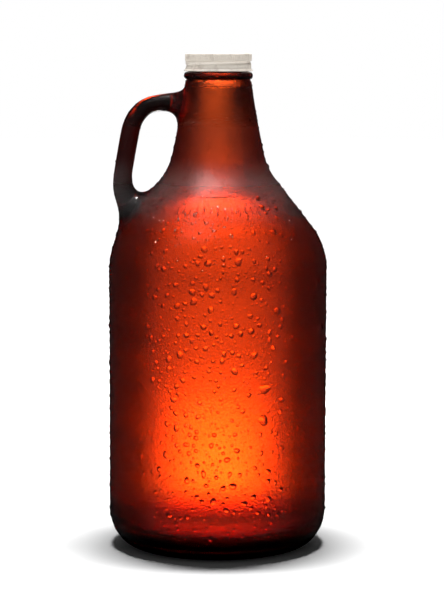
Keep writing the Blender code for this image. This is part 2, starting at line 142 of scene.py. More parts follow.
def new_material(
    name: str, values: dict | None = None
) -> tuple[bpy.types.Material, bpy.types.Node, bpy.types.Node]:
    """Makes a node material with one Principled BSDF.

    Args:
        name: The material's name.
        values: The shader's socket values.

    Returns:
        The material, its Principled BSDF and its output node.
    """
    mat = bpy.data.materials.new(name)
    mat.use_nodes = True
    tree = mat.node_tree
    tree.nodes.clear()
    output = add_node(tree, "ShaderNodeOutputMaterial")
    shader = add_node(tree, "ShaderNodeBsdfPrincipled", values)
    tree.links.new(shader.outputs["BSDF"], output.inputs["Surface"])
    return mat, shader, output


def grade(
    tree: bpy.types.NodeTree, along: bpy.types.NodeSocket, first: Any, bands: Bands
) -> bpy.types.NodeSocket:
    """Grades a level along a measure, with a smooth change over each band.

    Args:
        tree: The node tree to add to.
        along: The measure, such as the height.
        first: The level before the first band, a number or a socket.
        bands: Start, end and level after it, each a number or a socket, in order.

    Returns:
        The socket that gives the level.
    """
    level = first
    for start, end, after in bands:
        band = add_node(
            tree,
            "ShaderNodeMapRange",
            {"Value": along, "From Min": start, "From Max": end, "To Min": level, "To Max": after},
            interpolation_type="SMOOTHSTEP",
        )
        level = band.outputs["Result"]
    return level


# Mesh helpers


def deselect() -> None:
    """Leaves edit mode and deselects everything."""
    if bpy.context.mode != "OBJECT":
        bpy.ops.object.mode_set(mode="OBJECT")
    bpy.ops.object.select_all(action="DESELECT")


def make_active(obj: bpy.types.Object) -> None:
    """Selects one object alone and makes it active."""
    deselect()
    obj.select_set(True)
    bpy.context.view_layer.objects.active = obj


def apply_modifiers(obj: bpy.types.Object) -> None:
    """Applies every modifier on an object, in order."""
    make_active(obj)
    for modifier in list(obj.modifiers):
        bpy.ops.object.modifier_apply(modifier=modifier.name)


def smooth_by_angle(obj: bpy.types.Object, degrees: float) -> None:
    """Shades an object smooth but for edges sharper than an angle."""
    make_active(obj)
    bpy.ops.object.shade_smooth_by_angle(angle=math.radians(degrees))


def turn_profile(name: str, profile: Sequence[tuple[float, float]], steps: int) -> bpy.types.Object:
    """Spins a profile round the Z axis into a closed shell with outward faces.

    Args:
        name: The new object's name.
        profile: Points (radius, height) in millimetres, from the axis back to it.
        steps: How many steps the turn takes.

    Returns:
        The turned object.
    """
    deselect()
    mesh = bpy.data.meshes.new(name)
    points = [(r * MM, 0.0, z * MM) for r, z in profile]
    mesh.from_pydata(points, [(i, i + 1) for i in range(len(points) - 1)], [])
    obj = bpy.data.objects.new(name, mesh)
    bpy.context.collection.objects.link(obj)
    make_active(obj)
    bpy.ops.object.mode_set(mode="EDIT")
    bpy.ops.mesh.select_all(action="SELECT")
    bpy.ops.mesh.spin(steps=steps, angle=math.tau, center=(0.0, 0.0, 0.0), axis=(0.0, 0.0, 1.0))
    bpy.ops.mesh.select_all(action="SELECT")
    bpy.ops.mesh.remove_doubles(threshold=0.00001)
    bpy.ops.mesh.normals_make_consistent(inside=False)
    bpy.ops.object.mode_set(mode="OBJECT")
    return obj


def sweep_round(
    name: str,
    line: Sequence[tuple[float, float, float, float]],
    resolution: int,
    depth: float = 1.0,
) -> bpy.types.Object:
    """Sweeps a round section along a line into a closed solid.

    Args:
        name: The new object's name.
        line: Places and the section's radius there, all in millimetres.
        resolution: How finely the section is rounded.
        depth: How many times it is stretched along Y.

    Returns:
        The swept solid.
    """
    deselect()
    curve = bpy.data.curves.new(name, "CURVE")
    curve.dimensions = "3D"
    curve.bevel_depth = MM
    curve.bevel_resolution = resolution
    curve.use_fill_caps = True
    spline = curve.splines.new("POLY")
    spline.points.add(len(line) - 1)
    for point, (x, y, z, radius) in zip(spline.points, line):
        point.co = (x * MM, y * MM, z * MM, 1.0)
        point.radius = radius
    obj = bpy.data.objects.new(name, curve)
    bpy.context.collection.objects.link(obj)
    make_active(obj)
    bpy.ops.object.convert(target="MESH")
    bpy.ops.object.mode_set(mode="EDIT")
    bpy.ops.mesh.select_all(action="SELECT")
    bpy.ops.mesh.remove_doubles(threshold=0.00001)
    if depth != 1.0:
        bpy.ops.transform.resize(value=(1.0, depth, 1.0), center_override=(0.0, 0.0, 0.0))
    bpy.ops.mesh.normals_make_consistent(inside=False)
    bpy.ops.object.mode_set(mode="OBJECT")
    return obj


def add_disc(name: str, radius: float, sides: int, height: float) -> bpy.types.Object:
    """Adds a flat disc for the studio.

    Args:
        name: The new object's name.
        radius: Its radius in metres.
        sides: How many sides it has.
        height: Its height in metres.

    Returns:
        The disc.
    """
    deselect()
    bpy.ops.mesh.primitive_circle_add(vertices=sides, radius=radius, fill_type="NGON")
    disc = bpy.context.object
    disc.name = name
    bpy.ops.object.mode_set(mode="EDIT")
    bpy.ops.mesh.select_all(action="SELECT")
    bpy.ops.transform.translate(value=(0.0, 0.0, height))
    bpy.ops.object.mode_set(mode="OBJECT")
    return disc


def merge_solids(obj: bpy.types.Object, other: bpy.types.Object, merge: Merge) -> None:
    """Applies a Boolean with another solid, which is then removed.

    Args:
        obj: The solid that is changed.
        other: The solid that is joined to it or cut from it.
        merge: Which of the two.
    """
    modifier = obj.modifiers.new(merge.name.lower(), "BOOLEAN")
    modifier.operation = merge.value
    modifier.solver = "MANIFOLD"
    modifier.object = other
    apply_modifiers(obj)
    bpy.data.objects.remove(other, do_unlink=True)


def dress(obj: bpy.types.Object, material: bpy.types.Material, node: str = "") -> None:
    """Gives a piece its material, rides it on the body and hides the CAD node that it replaces.

    Args:
        obj: The piece, already in place.
        material: Its material.
        node: The CAD node that it replaces, if any.
    """
    obj.data.materials.clear()
    obj.data.materials.append(material)
    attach(obj, "root")
    if node:
        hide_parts(node)


def vertex_array(obj: bpy.types.Object) -> np.ndarray:
    """Returns an object's vertex places in millimetres, as an (n, 3) array."""
    flat = np.empty(len(obj.data.vertices) * 3, np.float32)
    obj.data.vertices.foreach_get("co", flat)
    return flat.reshape(-1, 3).astype(float) / MM


def set_vertices(obj: bpy.types.Object, points: np.ndarray) -> None:
    """Moves an object's vertices to places given in millimetres."""
    obj.data.vertices.foreach_set("co", (points * MM).astype(np.float32).ravel())
    obj.data.update()


def mesh_from_arrays(name: str, points: np.ndarray, faces: np.ndarray) -> bpy.types.Object:
    """Makes one joined mesh from arrays of vertices and triangles.

    Args:
        name: The new object's name.
        points: Vertices in millimetres, (n, 3).
        faces: Vertex indices, (m, 3).

    Returns:
        The new object.
    """
    mesh = bpy.data.meshes.new(name)
    mesh.vertices.add(len(points))
    mesh.vertices.foreach_set("co", (points * MM).astype(np.float32).ravel())
    mesh.loops.add(faces.size)
    mesh.loops.foreach_set("vertex_index", faces.astype(np.int32).ravel())
    mesh.polygons.add(len(faces))
    mesh.polygons.foreach_set("loop_start", np.arange(0, faces.size, 3, dtype=np.int32))
    mesh.update(calc_edges=True)
    mesh.shade_smooth()
    obj = bpy.data.objects.new(name, mesh)
    bpy.context.collection.objects.link(obj)
    return obj


# The jug's shape


@dataclass
class JugShape:
    """The jug's sizes in millimetres, and the profiles and surfaces that follow."""

    body_radius: float = 62.5
    wall: float = 4.4
    neck_wall: float = 3.6
    heel_top: float = 21.6
    bearing_outer: float = 46.8
    bearing_inner: float = 42.4
    push_up: float = 5.0
    heel_floor: float = 13.0
    shoulder_start: float = 160.4
    shoulder_angle: float = 38.0
    shoulder_arc: float = 39.4
    slope_length: float = 34.3
    fillet_arc: float = 35.4
    neck_foot_angle: float = 12.5
    neck_arc: float = 535.0
    neck_top_angle: float = 8.0
    bead_height: float = 270.7
    bead_centre: float = 17.5
    bead_arc: float = 2.2
    finish_radius: float = 17.2
    finish_top: float = 282.3
    mouth_radius: float = 13.6
    beer_level: float = 264.6

    def wall_chain(self, counts: Sequence[int] = (14, 12, 12, 24)) -> list[tuple[float, float, float]]:
        """Walks up the outer wall from the shoulder's start to the neck bead.

        Args:
            counts: Steps along the convex arc, the slope, the fillet and the neck.

        Returns:
            Points (radius, height, inward lean in radians).
        """
        r, z, lean = self.body_radius, self.shoulder_start, 0.0
        points = [(r, z, lean)]
        slope = math.radians(self.shoulder_angle)
        parts = (
            (slope, self.shoulder_arc, 1.0),
            (slope, self.slope_length, 0.0),
            (math.radians(self.neck_foot_angle), self.fillet_arc, -1.0),
            (math.radians(self.neck_top_angle), self.neck_arc, -1.0),
        )
        for (end, size, turn), count in zip(parts, counts):
            for i in range(1, count + 1):
                if turn == 0.0:
                    step = size * i / count
                    point = (r - step * math.sin(lean), z + step * math.cos(lean), lean)
                else:
                    now = lean + (end - lean) * i / count
                    point = (
                        r - turn * size * (math.cos(lean) - math.cos(now)),
                        z + turn * size * (math.sin(now) - math.sin(lean)),
                        now,
                    )
                points.append(point)
            r, z, lean = points[-1]
        return points

    @staticmethod
    def ellipse_arc(
        centre: tuple[float, float], size: tuple[float, float], turn: tuple[float, float], count: int
    ) -> list[tuple[float, float]]:
        """Points on an ellipse.

        Args:
            centre: Its centre (radius, height).
            size: Its half width and half height.
            turn: The first and last angle in degrees from the outward direction.
            count: How many steps.

        Returns:
            Points (radius, height).
        """
        points = []
        for i in range(count + 1):
            angle = math.radians(turn[0] + (turn[1] - turn[0]) * i / count)
            across, up = size[0] * math.cos(angle), size[1] * math.sin(angle)
            points.append((centre[0] + across, centre[1] + up))
        return points

    def outer_profile(self) -> list[tuple[float, float]]:
        """The outside from the lip down to the centre of the push-up."""
        top, radius = self.finish_top, self.finish_radius
        points = [(0.0, top), (radius - 1.0, top), (radius - 0.5, top - 0.15), (radius - 0.1, top - 0.9)]
        points.append((radius, self.bead_height + self.bead_arc))
        size = (self.bead_arc, self.bead_arc)
        points += self.ellipse_arc((self.bead_centre, self.bead_height), size, (78.0, -78.0), 14)
        points += [(r, z) for r, z, _ in reversed(self.wall_chain())]
        foot = self.shoulder_start
        points += [(self.body_radius, foot - (foot - self.heel_top) * i / 46) for i in range(1, 46)]
        centre = (self.bearing_outer, self.heel_top)
        size = (self.body_radius - self.bearing_outer, self.heel_top)
        points += self.ellipse_arc(centre, size, (0.0, -90.0), 20)
        inner = self.bearing_inner
        points += [(inner, 0.0), (inner - 1.2, 0.12), (inner - 3.0, 0.9)]
        points += [(inner - 5.5, 2.1), (inner - 9.0, 2.9)]
        points += [(inner * s, self.push_up * (1.0 - 0.42 * s * s)) for s in (0.6, 0.45, 0.3, 0.15)]
        points.append((0.0, self.push_up))
        return points

    def wall_at(self, z: float) -> float:
        """The wall's thickness at a height."""
        share = (z - self.shoulder_start) / (self.bead_height - self.shoulder_start)
        return self.wall + (self.neck_wall - self.wall) * min(1.0, max(0.0, share))

    def inner_profile(self, inset: float, top: float) -> list[tuple[float, float]]:
        """The cavity's wall from a height down to its floor.

        Args:
            inset: How much further inward than the cavity it is, or outward below 0.
            top: The height that it starts at.

        Returns:
            Points (radius, height) from the axis back to it.
        """
        walls = []
        for r, z, lean in self.wall_chain((10, 6, 8, 12)):
            gap = self.wall_at(z) + inset
            walls.append((r - gap * math.cos(lean), z - gap * math.sin(lean)))
        points = [(0.0, top)]
        if top > walls[-1][1] + 1.0:
            points += [(self.mouth_radius - inset, top), (self.mouth_radius - inset, self.bead_height)]
        else:
            below = [p for p in walls if p[1] < top]
            (r0, z0), (r1, z1) = below[-1], walls[len(below)]
            points.append((r0 + (r1 - r0) * (top - z0) / (z1 - z0), top))
            walls = below
        points += list(reversed(walls))
        reach = self.body_radius - self.wall - inset
        base = self.heel_floor + inset
        points += [(reach, 150.0 - 12.0 * i) for i in range(10)]
        points += self.ellipse_arc((reach - 16.0, base + 14.0), (16.0, 14.0), (0.0, -90.0), 12)
        points += [(reach * 0.5, base - 1.1), (reach * 0.25, base - 2.2), (0.0, base - 2.6)]
        return points

    def outside_at(self, z: np.ndarray) -> tuple[np.ndarray, np.ndarray]:
        """The plain outer wall's radius and inward lean at some heights.

        Args:
            z: Heights in millimetres.

        Returns:
            Radii in millimetres and leans in radians.
        """
        chain = np.array(self.wall_chain((24, 2, 24, 24)))
        radius = np.interp(z, chain[:, 1], chain[:, 0])
        lean = np.interp(z, chain[:, 1], chain[:, 2])
        down = np.clip((self.heel_top - z) / self.heel_top, 0.0, 0.999)
        wide = self.body_radius - self.bearing_outer
        across = np.sqrt(1.0 - down**2)
        radius = np.where(z < self.heel_top, self.bearing_outer + wide * across, radius)
        lean = np.where(z < self.heel_top, -np.arctan(wide / self.heel_top * down / across), lean)
        return radius, lean


@dataclass
class HandleShape:
    """The finger handle: its centre line and how it runs out onto the wall."""

    jug: JugShape
    # Distance from the axis toward -X, height and half width.
    path: tuple[tuple[float, float, float], ...] = (
        (6.0, 258.6, 4.8),
        (18.0, 256.9, 4.8),
        (24.8, 256.2, 4.8),
        (30.6, 255.5, 4.75),
        (36.6, 254.5, 4.7),
        (41.5, 252.7, 4.75),
        (44.9, 249.9, 4.9),
        (47.6, 246.3, 5.05),
        (49.5, 241.8, 5.2),
        (50.8, 236.1, 5.3),
        (53.3, 222.3, 5.25),
        (54.9, 212.0, 5.2),
        (54.9, 206.0, 5.3),
        (53.6, 200.5, 5.3),
        (51.4, 194.5, 5.2),
        (48.6, 187.5, 5.0),
        (45.0, 179.0, 4.8),
    )
    depth: float = 1.28
    root_upper: tuple[float, float] = (13.0, 7.0)
    root_lower: tuple[float, float] = (18.0, 13.0)
    # The roots' blend passes from the lower to the upper one between these heights,
    # and fades out under the neck bead.
    root_change: tuple[float, float] = (212.0, 240.0)
    blend_end: float = 268.5
    blend_fade: float = 9.0
    lowest_root: float = 150.0
    near_side: float = -8.0

    def smooth_path(self, step: float) -> np.ndarray:
        """Reads the centre line at even steps along a Catmull-Rom curve.

        Args:
            step: The step's length in millimetres.

        Returns:
            Rows of distance, height and half width.
        """
        rows = np.array(self.path, float)
        padded = np.vstack([2 * rows[0] - rows[1], rows, 2 * rows[-1] - rows[-2]])
        found = [rows[0]]
        for p0, p1, p2, p3 in zip(padded, padded[1:], padded[2:], padded[3:]):
            count = max(1, round(float(np.hypot(*(p2 - p1)[:2])) / step))
            for i in range(1, count + 1):
                t = i / count
                found.append(
                    0.5
                    * (
                        2 * p1
                        + (p2 - p0) * t
                        + (2 * p0 - 5 * p1 + 4 * p2 - p3) * t * t
                        + (3 * p1 - p0 - 3 * p2 + p3) * t**3
                    )
                )
        return np.array(found)

    def wall_distance(self, points: np.ndarray) -> np.ndarray:
        """How far points are outside the plain wall."""
        radius, lean = self.jug.outside_at(points[:, 2])
        return (np.hypot(points[:, 0], points[:, 1]) - radius) * np.cos(lean)

    def rod_distance(self, points: np.ndarray) -> tuple[np.ndarray, np.ndarray]:
        """How far points are outside the handle's rod.

        Args:
            points: Places in millimetres, (n, 3).

        Returns:
            Distances, and on which side of the rod each is, from -1 at the finger
            hole to 1 outside.
        """
        path = self.smooth_path(2.5)
        start, along = path[:-1], np.diff(path, axis=0)
        length = np.hypot(along[:, 0], along[:, 1])
        flat = np.stack([-points[:, 0], points[:, 2]], axis=1)
        offset = flat[:, None, :] - start[None, :, :2]
        share = np.clip((offset * along[None, :, :2]).sum(2) / length**2, 0.0, 1.0)
        gap = offset - share[..., None] * along[None, :, :2]
        away = np.hypot(gap[..., 0], gap[..., 1])
        best = away.argmin(axis=1)
        rows = np.arange(len(points))
        gap, away, share = gap[rows, best], away[rows, best], share[rows, best]
        tangent = along[best, :2] / length[best, None]
        side = tangent[:, 0] * gap[:, 1] - tangent[:, 1] * gap[:, 0]
        half = start[best, 2] + share * along[best, 2]
        deep = half * self.depth
        reach = np.hypot(away / half, points[:, 1] / deep)
        slope = np.hypot(away / half**2, points[:, 1] / deep**2) / np.maximum(reach, 1e-6)
        return (reach - 1.0) / np.maximum(slope, 1e-6), np.clip(side / half, -1.0, 1.0)

    def blended_distance(self, points: np.ndarray) -> np.ndarray:
        """The distance to the wall and the rod run smoothly into each other."""
        wall = self.wall_distance(points)
        rod, side = self.rod_distance(points)
        start, end = self.root_change
        height = np.clip((points[:, 2] - start) / (end - start), 0.0, 1.0)
        outer = (side + 1.0) / 2.0
        lower = self.root_lower[0] + (self.root_lower[1] - self.root_lower[0]) * outer
        upper = self.root_upper[0] + (self.root_upper[1] - self.root_upper[0]) * outer
        fade = np.clip((self.blend_end - points[:, 2]) / self.blend_fade, 0.1, 1.0)
        run = (lower + (upper - lower) * height) * fade
        share = np.maximum(run - np.abs(wall - rod), 0.0) / run
        return np.minimum(wall, rod) - share**2 * run / 4.0

    def settle(self, points: np.ndarray, steps: int) -> np.ndarray:
        """Moves points onto the blended surface of wall and handle, in Newton steps."""
        for _ in range(steps):
            value = self.blended_distance(points)
            slope = np.stack(
                [(self.blended_distance(points + d) - value) / 0.05 for d in np.eye(3) * 0.05], axis=1
            )
            points = points - (value / np.maximum((slope**2).sum(1), 0.25))[:, None] * slope
        return points

    def build_rod(self) -> bpy.types.Object:
        """Builds the rod: a round section along the centre line, a little deeper than wide."""
        line = [(-distance, 0.0, height, half) for distance, height, half in self.smooth_path(1.5)]
        return sweep_round("handle_rod", line, 9, self.depth)

    def near_root(self, points: np.ndarray, margin: float) -> np.ndarray:
        """Marks points close to where the rod runs into the wall."""
        wall = self.wall_distance(points)
        rod, _ = self.rod_distance(points)
        level = (points[:, 2] > self.lowest_root) & (points[:, 2] < self.jug.bead_height - 4.0)
        return (points[:, 0] < self.near_side) & (np.abs(wall) + np.abs(rod) < margin) & level

    def blend_roots(self, obj: bpy.types.Object) -> None:
        """Refines the mesh round the roots and moves it onto the blended surface.

        Args:
            obj: The wall with the rod joined to it.
        """
        make_active(obj)
        bpy.ops.object.mode_set(mode="EDIT")
        bpy.ops.mesh.select_all(action="SELECT")
        bpy.ops.mesh.quads_convert_to_tris()
        for longest in (3.0, 1.6, 0.9):
            self.select_root_edges(obj, longest)
            bpy.ops.mesh.subdivide(number_cuts=1, ngon=False)
            bpy.ops.mesh.select_all(action="SELECT")
            bpy.ops.mesh.quads_convert_to_tris(quad_method="SHORTEST_DIAGONAL")
        bpy.ops.object.mode_set(mode="OBJECT")
        points = vertex_array(obj)
        edges = np.empty(len(obj.data.edges) * 2, np.int32)
        obj.data.edges.foreach_get("vertices", edges)
        edges = edges.reshape(-1, 2)
        near = self.near_root(points, 20.0)
        LOG.info("root vertices %d of %d", int(near.sum()), len(points))
        for i in range(5):
            points[near] = self.settle(points[near], 1 if i else 4)
            total = np.zeros_like(points)
            count = np.zeros(len(points))
            for a, b in (edges.T, edges[:, ::-1].T):
                np.add.at(total, a, points[b])
                np.add.at(count, a, 1.0)
            middle = total / np.maximum(count, 1.0)[:, None]
            points[near] += 0.5 * (middle - points)[near]
        points[near] = self.settle(points[near], 2)
        set_vertices(obj, points)

    def select_root_edges(self, obj: bpy.types.Object, longest: float) -> None:
        """Selects, in edit mode, the edges near the roots that are longer than a length."""
        bm = bmesh.from_edit_mesh(obj.data)
        bm.select_mode = {"EDGE"}
        bpy.ops.mesh.select_mode(type="EDGE")
        middles = np.array([((e.verts[0].co + e.verts[1].co) / 2)[:] for e in bm.edges]) / MM
        lengths = np.array([e.calc_length() for e in bm.edges]) / MM
        near = np.zeros(len(middles), bool)
        close = (middles[:, 0] < self.near_side) & (middles[:, 2] > self.lowest_root)
        close &= lengths > longest
        near[close] = self.near_root(middles[close], 22.0)
        for edge, chosen in zip(bm.edges, near):
            edge.select_set(bool(chosen))
        bmesh.update_edit_mesh(obj.data)


@dataclass
class Skin:
    """The jug's outside as triangles, to lay the condensation on."""

    corners: np.ndarray
    normals: np.ndarray
    areas: np.ndarray
    lowest: ClassVar[float] = 4.0
    highest: ClassVar[float] = 271.0

    @classmethod
    def of(cls, obj: bpy.types.Object) -> "Skin":
        """Reads an object's triangles, but for its underside and what the cap covers."""
        obj.data.calc_loop_triangles()
        count = len(obj.data.loop_triangles)
        index = np.empty(count * 3, np.int32)
        obj.data.loop_triangles.foreach_get("vertices", index)
        corners = cls.in_order(vertex_array(obj)[index.reshape(-1, 3)])
        cross = np.cross(corners[:, 1] - corners[:, 0], corners[:, 2] - corners[:, 0])
        double = np.linalg.norm(cross, axis=1)
        height = corners[:, :, 2].mean(axis=1)
        keep = (double > 1e-6) & (height > cls.lowest) & (height < cls.highest)
        normals = cross[keep] / double[keep, None]
        return cls(corners[keep], normals, double[keep] / 2.0)

    @staticmethod
    def in_order(corners: np.ndarray) -> np.ndarray:
        """Sorts triangles by place, so that each run draws the same drops.

        Args:
            corners: The triangles' corners, (n, 3, 3), in the order that Blender gives.

        Returns:
            The same triangles from the lowest up, each from its lowest corner on.
        """
        level = np.round(corners, 2) @ np.array([1.0, 1.0e3, 1.0e6])
        turn = (level.argmin(axis=1)[:, None] + np.arange(3)) % 3
        corners = np.take_along_axis(corners, turn[..., None], axis=1)
        return corners[np.lexsort(np.round(corners.mean(axis=1), 2).T)]

    def draw(
        self, random: np.random.Generator, count: int, weights: np.ndarray
    ) -> tuple[np.ndarray, np.ndarray]:
        """Draws places on the skin.

        Args:
            random: The seeded generator.
            count: How many places.
            weights: How thickly each triangle is covered.

        Returns:
            Places and outward normals, each (count, 3).
        """
        share = self.areas * weights
        chosen = random.choice(len(share), count, p=share / share.sum())
        u, v = random.random(count), random.random(count)
        fold = u + v > 1.0
        u[fold], v[fold] = 1.0 - u[fold], 1.0 - v[fold]
        a, b, c = self.corners[chosen].transpose(1, 0, 2)
        return a + u[:, None] * (b - a) + v[:, None] * (c - a), self.normals[chosen]


# Finishes


@dataclass(frozen=True)
class GlassFinish:
    """Amber bottle glass with a film of mist on it, and painted shade that blackens the heel.

    Heights and radii are in metres. A band is its start and end and the value after it.
    """

    ior: float = 1.52
    tint: str = "#fbba54"
    density: float = 602.8
    # Painted shade: inside the heel's radius the glass is blackened up to the lower heights, outside it
    # to the upper ones, and each pair is where it starts to clear and where it is clear.
    heel_radius: tuple[float, float] = (0.0582, 0.0588)
    painted_shade_under: tuple[float, float] = (0.005, 0.0085)
    painted_shade_outside: tuple[float, float] = (0.0095, 0.0165)
    clear: float = 0.998
    clear_bands: Bands = ((0.184, 0.204, 0.972), (0.208, 0.226, 0.9985))
    roughness: float = 0.08
    rough_bands: Bands = ((0.195, 0.215, 0.32), (0.238, 0.252, 0.08))
    mist_mm: float = 1.2
    mist_depth_mm: float = 0.11

    def material(self) -> bpy.types.Material:
        """Builds the amber glass."""
        # Amber glass: brown where it is thick, orange where light comes through it.
        mat, shader, output = new_material("misted_amber_glass", {"IOR": self.ior})
        tree = mat.node_tree
        volume = add_node(
            tree, "ShaderNodeVolumeAbsorption", {"Color": linear(self.tint), "Density": self.density}
        )
        tree.links.new(volume.outputs["Volume"], output.inputs["Volume"])
        place = add_node(tree, "ShaderNodeTexCoord").outputs["Object"]
        height = add_node(tree, "ShaderNodeSeparateXYZ", {0: place}).outputs["Z"]
        # Painted shade: the heel's colour goes to black, so that it reads black.
        flat = add_node(tree, "ShaderNodeVectorMath", {0: place, 1: (1.0, 1.0, 0.0)}, operation="MULTIPLY")
        reach = add_node(tree, "ShaderNodeVectorMath", {0: flat.outputs["Vector"]}, operation="LENGTH")
        start, end = (
            grade(tree, reach.outputs["Value"], under, ((*self.heel_radius, outside),))
            for under, outside in zip(self.painted_shade_under, self.painted_shade_outside)
        )
        heel = grade(tree, height, 0.0, ((start, end, 1.0),))
        tree.links.new(heel, shader.inputs["Base Color"])
        # The mist greys the glass a little, most of all at the top of the shoulder.
        clear = grade(tree, height, self.clear, self.clear_bands)
        tree.links.new(clear, shader.inputs["Transmission Weight"])
        # It also blurs what shows through it, most of all between the shoulder and the neck.
        rough = grade(tree, height, self.roughness, self.rough_bands)
        tree.links.new(rough, shader.inputs["Roughness"])
        # Its droplets break up the surface. Real ones are finer and wouldn't show.
        mist = add_node(
            tree,
            "ShaderNodeTexNoise",
            {"Vector": place, "Scale": 1.0 / (self.mist_mm * MM), "Detail": 2.0, "Roughness": 0.6},
        )
        bump = add_node(
            tree,
            "ShaderNodeBump",
            {"Height": mist.outputs["Fac"], "Distance": self.mist_depth_mm * MM, "Strength": 1.0},
        )
        tree.links.new(bump.outputs["Normal"], shader.inputs["Normal"])
        return mat


@dataclass(frozen=True)
class BeerFinish:
    """Clear beer: pale straw in a thin layer, amber through the whole jug."""

    ior: float = 1.34
    roughness: float = 0.2
    tint: str = "#f2db3a"
    density: float = 16.685

    def material(self) -> bpy.types.Material:
        """Builds the beer."""
        # Beer: clear, it takes out blue and some green over the jug's width.
        clear = {"Base Color": WHITE, "Transmission Weight": 1.0}
        values = {**clear, "IOR": self.ior, "Roughness": self.roughness}
        mat, _, output = new_material("beer", values)
        tree = mat.node_tree
        volume = add_node(
            tree, "ShaderNodeVolumeAbsorption", {"Color": linear(self.tint), "Density": self.density}
        )
        tree.links.new(volume.outputs["Volume"], output.inputs["Volume"])
        return mat


@dataclass(frozen=True)
class WaterFinish:
    """The drops of condensation: clear water."""

    ior: float = 1.33
    roughness: float = 0.03

    def material(self) -> bpy.types.Material:
        """Builds the water."""
        # Condensation: clear drops that act as small lenses on the glass.
        clear = {"Base Color": WHITE, "Transmission Weight": 1.0}
        values = {**clear, "IOR": self.ior, "Roughness": self.roughness}
        return new_material("condensation_water", values)[0]


@dataclass(frozen=True)
class TinplateFinish:
    """The cap's lacquered tinplate, off-white and a little worn and dulled."""

    lacquer: str = "#e4dbcf"
    worn: str = "#a08f80"
    roughness: float = 0.42
    patch_mm: float = 6.0
    # How far up the noise the dulling starts, and where it is full.
    wear: tuple[float, float] = (0.5, 0.85)

    def material(self) -> bpy.types.Material:
        """Builds the lacquered tinplate."""
        # Off-white lacquer, satin, with a faint brownish dulling in patches.
        mat, shader, _ = new_material("lacquered_tinplate", {"Roughness": self.roughness})
        tree = mat.node_tree
        place = add_node(tree, "ShaderNodeTexCoord").outputs["Object"]
        patches = add_node(
            tree,
            "ShaderNodeTexNoise",
            {"Vector": place, "Scale": 1.0 / (self.patch_mm * MM), "Detail": 4.0, "Roughness": 0.6},
        )
        share = add_node(
            tree,
            "ShaderNodeMapRange",
            {"Value": patches.outputs["Fac"], "From Min": self.wear[0], "From Max": self.wear[1]},
        )
        coat = add_node(
            tree,
            "ShaderNodeMix",
            {"Factor": share.outputs["Result"], 6: linear(self.lacquer), 7: linear(self.worn)},
            data_type="RGBA",
        )
        tree.links.new(coat.outputs[2], shader.inputs["Base Color"])
        return mat


# The pieces


